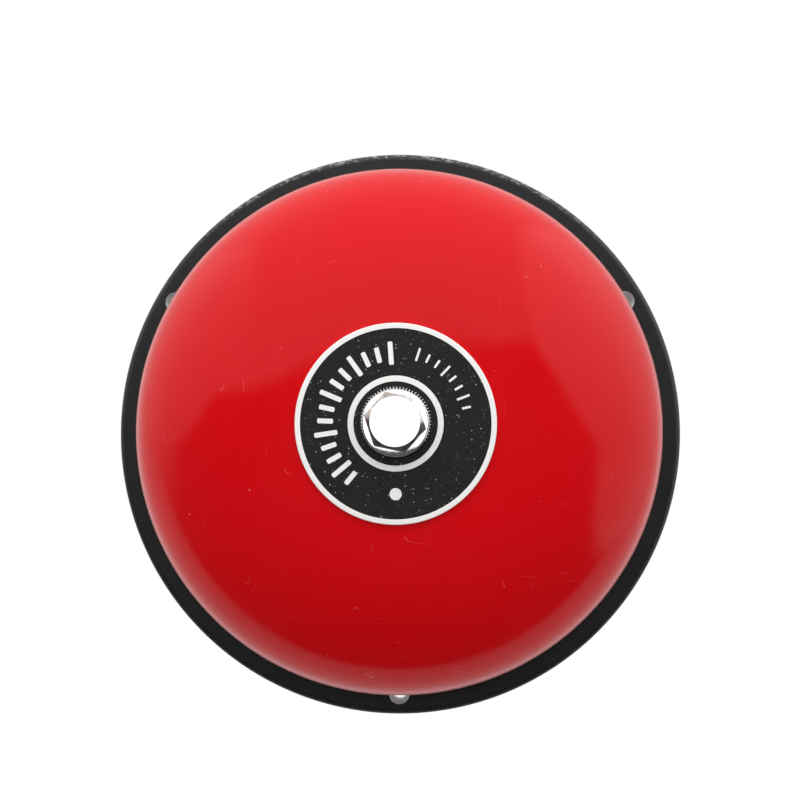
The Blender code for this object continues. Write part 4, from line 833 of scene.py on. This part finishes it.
def make_cable_grommet():
    """The rubber grommet, with round lips on both sides of the plate."""
    back, front = span_out("cable_grommet")
    radius = radius_of("cable_grommet")
    bore = GROMMET_BORE
    lip = GROMMET_LIP
    profile = [
        *arc(bore + lip, front - lip, lip, 180, 90, 6),
        *arc(radius - lip, front - lip, lip, 90, 0, 6),
        (radius, BASE_FRONT),
        (CABLE_HOLE, BASE_FRONT),
        (CABLE_HOLE, PLATE_BACK),
        (radius, PLATE_BACK),
        *arc(radius - lip, back + lip, lip, 0, -90, 6),
        *arc(bore + lip, back + lip, lip, 270, 180, 6),
    ]
    grommet = spun(profile, CABLE_ENTRY, MIDDLE_TURN, closed=True)
    finished("rubber_grommet", grommet, [RUBBER], ["cable_grommet"])


# ---------------------------------------------------------------- gong and bolt stack

def dome(shrink, start, end, steps):
    """Points of the dome's curve between two turns in degrees, 0 at its seat and 90 at its rim."""
    points = []
    for step in range(steps + 1):
        turn = math.radians(start + (end - start) * step / steps)
        radius = GONG_SEAT + (GONG_RADIUS - GONG_SEAT - shrink) * math.sin(turn)
        points.append((radius, GONG_BACK + (GONG_FRONT - GONG_BACK - shrink) * math.cos(turn)))
    return points


def make_gong():
    """The pressed gong: a flat seat running into an elliptical dome with a rounded rim."""
    lip = GONG_THICKNESS * 0.45
    clear = math.degrees(math.asin(lip / (GONG_FRONT - GONG_BACK)))
    profile = [
        (GONG_HOLE, GONG_FRONT),
        *dome(0.0, 0, 90 - clear, 72),
        *arc(GONG_RADIUS - lip, GONG_BACK + lip, lip, 0, -90, 6)[1:],
        *arc(GONG_RADIUS - GONG_THICKNESS + lip, GONG_BACK + lip, lip, 270, 180, 6)[:-1],
        *dome(GONG_THICKNESS, 90 - clear, 0, 48),
        (GONG_HOLE, GONG_FRONT - GONG_THICKNESS),
    ]
    gong = spun(profile, steps=GONG_TURN, closed=True)
    finished("painted_gong", gong, [RED_GLOSS], ["gong"])


def make_label():
    """The label disc: black with a white border and a white inner ring."""
    edge = LABEL_EDGE
    profile = [
        (STACK_BORE, LABEL_FRONT),
        (INNER_RING[0], LABEL_FRONT),
        (INNER_RING[1], LABEL_FRONT),
        (LABEL_RING, LABEL_FRONT),
        *arc(LABEL_RADIUS - edge, LABEL_FRONT - edge, edge, 90, 0, 4),
        (LABEL_RADIUS, LABEL_BACK),
        (STACK_BORE, LABEL_BACK),
    ]
    label = spun(profile, closed=True)
    for face in label.faces:
        middle = face.calc_center_median()
        radius = math.hypot(middle.x, middle.z)
        in_inner_ring = face.normal.y < -0.1 and INNER_RING[0] < radius < INNER_RING[1]
        face.material_index = 1 if in_inner_ring or radius > LABEL_RING else 0
    finished("printed_label", label, [LABEL_BLACK, LABEL_WHITE], ["label_disc"])


def bar(length, width, middle_radius, degrees):
    """One printed bar that points at the bolt, with rounded corners."""
    low = (middle_radius - length / 2, LABEL_FRONT - INK, -width / 2)
    high = (middle_radius + length / 2, LABEL_FRONT + INK, width / 2)
    shape = brick(low, high)
    upright = [edge for edge in shape.edges if abs((edge.verts[0].co - edge.verts[1].co).y) > INK]
    soften(shape, upright, width * 0.28, 3)
    return turn_about(shape, (0.0, 0.0), degrees)


def make_label_marks():
    """A plain row of bars on the left of the label, a smaller row on the right, and a dot below."""
    marks = bmesh.new()
    for count in range(14):
        length = 0.0062 if count % 3 == 0 else 0.0042
        add_shape(marks, bar(length, 0.0013, 0.0187, 94 + count * 10.5))
    for count in range(8):
        length = 0.0036 if count % 3 == 0 else 0.0024
        add_shape(marks, bar(length, 0.0006, 0.0192, 72 - count * 8.5))
    add_shape(marks, rod(0.0016, LABEL_FRONT - INK, LABEL_FRONT + INK, (0.0, -0.0187)))
    finished("label_marks", marks, [LABEL_WHITE])


def make_lock_washer():
    """The lock washer, with fine teeth that show round the plain washer."""
    back = LABEL_FRONT
    front = back + LOCK_WASHER_THICKNESS
    profile = [
        (STACK_BORE, front),
        (LOCK_WASHER_RADIUS - 0.0011, front),
        (LOCK_WASHER_RADIUS - WASHER_EDGE, front - WASHER_EDGE * 0.3),
        (LOCK_WASHER_RADIUS, front - WASHER_EDGE * 1.3),
        (LOCK_WASHER_RADIUS - WASHER_EDGE, back),
        (STACK_BORE, back),
    ]
    steps = LOCK_WASHER_TEETH * TOOTH_STEPS
    washer = spun(profile, (0.0, LOCK_WASHER_LIFT), steps, closed=True)
    for point in washer.verts:
        across, up = point.co.x, point.co.z - LOCK_WASHER_LIFT
        step = round(math.atan2(up, across) / math.tau * steps) % TOOTH_STEPS
        if step >= TOOTH_STEPS / 2 and math.hypot(across, up) > LOCK_WASHER_RADIUS - 0.0009:
            point.co.x = across * (1.0 - TOOTH_DEPTH)
            point.co.z = up * (1.0 - TOOTH_DEPTH) + LOCK_WASHER_LIFT
    finished("toothed_washer", washer, [BRIGHT_ZINC], ["lock_washer"], angle=20)


def make_plain_washer():
    """The chromed washer under the bolt's head, with a round front edge."""
    back = LABEL_FRONT + LOCK_WASHER_THICKNESS
    rounding = PLAIN_WASHER_ROUND
    edge = WASHER_EDGE
    profile = [
        (STACK_BORE, HEAD_BACK),
        *arc(PLAIN_WASHER_RADIUS - rounding, HEAD_BACK - rounding, rounding, 90, 0, 8),
        *arc(PLAIN_WASHER_RADIUS - edge, back + edge, edge, 0, -90, 4),
        (STACK_BORE, back),
    ]
    finished("polished_washer", spun(profile, closed=True), [CHROME], ["plain_washer"])


def make_bolt_head():
    """The chromed hexagon head: a round flat face, and corners turned off at a slope."""
    corner = BOLT_FLATS / math.sqrt(3)
    height = HEAD_HEIGHT + OVER
    head = bmesh.new()
    bmesh.ops.create_cone(head, cap_ends=True, segments=6, radius1=corner, radius2=corner, depth=height)
    lie_down = Matrix.Rotation(math.radians(90), 3, "X")
    bmesh.ops.rotate(head, verts=head.verts, cent=(0.0, 0.0, 0.0), matrix=lie_down)
    bmesh.ops.translate(head, verts=head.verts, vec=OUT * ((BOLT_FRONT + HEAD_BACK + OVER) / 2))
    nearest = min(math.degrees(math.atan2(point.co.z, point.co.x)) % 60 for point in head.verts)
    turn_about(head, (0.0, 0.0), BOLT_TURN % 60 - nearest)
    crown = 0.00003
    outside = corner + OVER
    drop = (outside - BOLT_CHAMFER) * math.tan(math.radians(BOLT_CHAMFER_SLOPE))
    form = [
        (0.0, BOLT_FRONT),
        (BOLT_CHAMFER - crown * 2, BOLT_FRONT),
        (BOLT_CHAMFER, BOLT_FRONT - crown),
        (outside, BOLT_FRONT - crown - drop),
        (outside, HEAD_BACK),
        (0.0, HEAD_BACK),
    ]
    head = joined(head, spun(form), "INTERSECT")
    close_up(head)
    sides = [edge for edge in hard_edges(head, 25) if abs((edge.verts[0].co - edge.verts[1].co).y) > 0.001]
    soften(head, sides, 0.00022, 3)
    for face in head.faces:
        face.material_index = 1 if -0.97 < face.normal.y < -0.4 else 0
    finished("chrome_bolt_head", head, [CHROME, WORN_CHROME], ["gong_bolt"], angle=24)


def make_bolt_shank():
    """The bolt's shank, with a ridge for each turn of its thread."""
    root = SHANK_RADIUS - THREAD_DEPTH
    profile = [
        (0.0, HEAD_BACK + OVERLAP),
        (root, HEAD_BACK + OVERLAP),
        (root, HEAD_BACK - THREAD_PITCH),
    ]
    ridges = int((HEAD_BACK - THREAD_PITCH - BOLT_BACK - SHANK_RADIUS * 0.25) / THREAD_PITCH)
    for ridge in range(ridges):
        start = HEAD_BACK - THREAD_PITCH * (ridge + 1)
        profile += [
            (SHANK_RADIUS, start - THREAD_PITCH * 0.4),
            (SHANK_RADIUS, start - THREAD_PITCH * 0.55),
            (root, start - THREAD_PITCH * 0.98),
        ]
    profile += [(SHANK_RADIUS * 0.75, BOLT_BACK), (0.0, BOLT_BACK)]
    finished("bolt_shank", spun(profile, steps=SMALL_TURN), [ZINC])


make_base()
make_cable_grommet()
make_gong()
make_label()
make_label_marks()
make_lock_washer()
make_plain_washer()
make_bolt_head()
make_bolt_shank()


# ---------------------------------------------------------------- smaller pieces

def make_softened(node, width=0.00012):
    """A finer piece in place of a node: the same form with rounded edges and smooth round sides."""
    source = frame["nodes"][node]
    shape = bmesh.new()
    shape.from_mesh(source.data)
    shape.transform(source.matrix_world)
    close_up(shape)
    bmesh.ops.dissolve_limit(
        shape,
        angle_limit=math.radians(1),
        use_dissolve_boundaries=False,
        verts=shape.verts,
        edges=shape.edges,
    )
    soften(shape, hard_edges(shape, 40), width)
    close_up(shape)
    slot = SLOTS[node]
    finished_soft(f"{node}_finish", shape, [FINISHES[slot]], [node], BODIES[node])


FINISHES = {
    "zinc_plate": ZINC,
    "bright_steel": STEEL,
    "zinc_casting": CASTING,
    "brass": BRASS,
    "bronze": BRONZE,
    "copper": COPPER,
    "white_nylon": WHITE_NYLON,
    "grey_nylon": GREY_NYLON,
    "black_rubber": RUBBER,
    "ferrite": FERRITE,
    "carbon": CARBON,
    "board_green": BOARD_GREEN,
    "terminal_green": TERMINAL_GREEN,
    "capacitor_sleeve": SLEEVE,
    "varistor_blue": VARISTOR,
    "lead_red": LEAD_RED,
    "lead_black": LEAD_BLACK,
}
FINELY_MADE = ("base", "cable_grommet", "gong", "label_disc", "lock_washer", "plain_washer", "gong_bolt")

for node in SLOTS:
    if node not in FINELY_MADE:
        make_softened(node)


# ---------------------------------------------------------------- floor, light and camera

def make_floor():
    """A pale floor well below the bell. It is kept out of the paint's reflections and soft light."""
    floor = bmesh.new()
    bmesh.ops.create_grid(floor, x_segments=8, y_segments=8, size=0.6)
    bmesh.ops.translate(floor, verts=floor.verts, vec=(0.0, -0.1, FLOOR_HEIGHT))
    mesh = bpy.data.meshes.new("floor")
    floor.to_mesh(mesh)
    floor.free()
    mesh.materials.append(
        plain_finish(
            "pale_floor", (0.78, 0.78, 0.77), (0.74, 0.74, 0.735), (0.6, 0.75), patches=12.0, grain=300.0
        )
    )
    stage_floor = bpy.data.objects.new("floor", mesh)
    stage_floor.visible_glossy = False
    stage_floor.visible_diffuse = False
    bpy.context.scene.collection.objects.link(stage_floor)


def add_panel(name, place, target, size, energy):
    """A soft rectangular light that faces a point."""
    light = bpy.data.lights.new(name, "AREA")
    light.shape = "RECTANGLE"
    light.size, light.size_y = size
    light.energy = energy
    panel = bpy.data.objects.new(name, light)
    panel.location = place
    facing = Vector(target) - Vector(place)
    panel.rotation_euler = facing.to_track_quat("-Z", "Z").to_euler()
    bpy.context.scene.collection.objects.link(panel)
    return panel


def ramp(tree, share, low, high):
    """A straight blend from one level to another."""
    return put(tree, "ShaderNodeMapRange", {"Value": share, "To Min": low, "To Max": high}).outputs["Result"]


def make_world():
    """A white room: the eye sees white, surfaces see soft light from above, and the gloss sees a room.

    The room that the gloss sees has a bright ceiling, side walls that brighten upwards, a dimmer
    wall behind the bell, and a dark shape in front of it, which widens downwards, where whoever
    looks at the bell stands.
    """
    world = bpy.data.worlds.new("studio")
    bpy.context.scene.world = world
    world.use_nodes = True
    tree = world.node_tree
    tree.nodes.clear()
    path = tree.nodes.new("ShaderNodeLightPath")
    place = tree.nodes.new("ShaderNodeTexCoord").outputs["Generated"]
    across, back, up = put(tree, "ShaderNodeSeparateXYZ", {"Vector": place}).outputs

    height = maths(tree, "MULTIPLY_ADD", maths(tree, "MAXIMUM", across, 0.0), -0.4, up)
    overhead = between(tree, height, 0.15, 0.21, DARK_FRONT, CEILING)
    high = maths(tree, "MAXIMUM", up, 0.0)
    side = maths(tree, "MULTIPLY_ADD", high, SIDE_WALLS_RISE, SIDE_WALLS)
    side = maths(tree, "MULTIPLY", side, maths(tree, "MULTIPLY_ADD", across, 0.12, 1.0))
    aside = maths(tree, "ABSOLUTE", maths(tree, "ADD", across, 0.06))
    shape_edge = maths(tree, "MULTIPLY_ADD", up, -0.95, 0.88)
    shape_edge = maths(tree, "MINIMUM", maths(tree, "MAXIMUM", shape_edge, 0.56), 0.92)
    beside = between(tree, maths(tree, "SUBTRACT", aside, shape_edge), -0.03, 0.05)
    front = ramp(tree, beside, overhead, side)
    room = ramp(tree, between(tree, back, 0.0, 0.8), front, WALL_BEHIND)
    behind = maths(tree, "MULTIPLY", between(tree, back, 0.02, 0.18), WALL_BEHIND)
    room = maths(tree, "MAXIMUM", room, behind)

    soft = maths(tree, "MULTIPLY_ADD", up, SOFT_LIGHT_RISE, SOFT_LIGHT)
    soft_behind = maths(tree, "MULTIPLY", between(tree, back, 0.0, 0.5), SOFT_LIGHT_BEHIND)
    soft = maths(tree, "MAXIMUM", soft, soft_behind)
    seen = ramp(tree, path.outputs["Is Glossy Ray"], soft, room)
    strength = ramp(tree, path.outputs["Is Camera Ray"], seen, 1.0)
    white = {"Color": (1.0, 1.0, 1.0, 1.0), "Strength": strength}
    sky = put(tree, "ShaderNodeBackground", white)
    put(tree, "ShaderNodeOutputWorld", {"Surface": sky.outputs["Background"]})


def make_camera():
    """A camera half a metre in front of the bell, a little low and to the right."""
    lens = bpy.data.cameras.new("camera")
    lens.lens = 78.93
    lens.sensor_width = 36.0
    lens.clip_start = 0.01
    camera = bpy.data.objects.new("camera", lens)
    camera.location = (0.0114, -0.52, -0.0237)
    target = Vector((0.0002, -0.0132, 0.009))
    camera.rotation_euler = (target - camera.location).to_track_quat("-Z", "Y").to_euler()
    bpy.context.scene.collection.objects.link(camera)
    bpy.context.scene.camera = camera


make_floor()
make_world()
key = add_panel(
    "key_panel", place=(0.0, -0.5, 0.75), target=(0.0, -0.03, 0.0), size=(0.9, 0.6), energy=1.95
)
key.visible_glossy = False
add_panel(
    "flash", place=(-0.02, -1.0, 0.07), target=(0.0, -0.06, 0.0), size=(0.26, 0.22), energy=0.24
)
make_camera()
bpy.context.scene.view_settings.view_transform = "Standard"
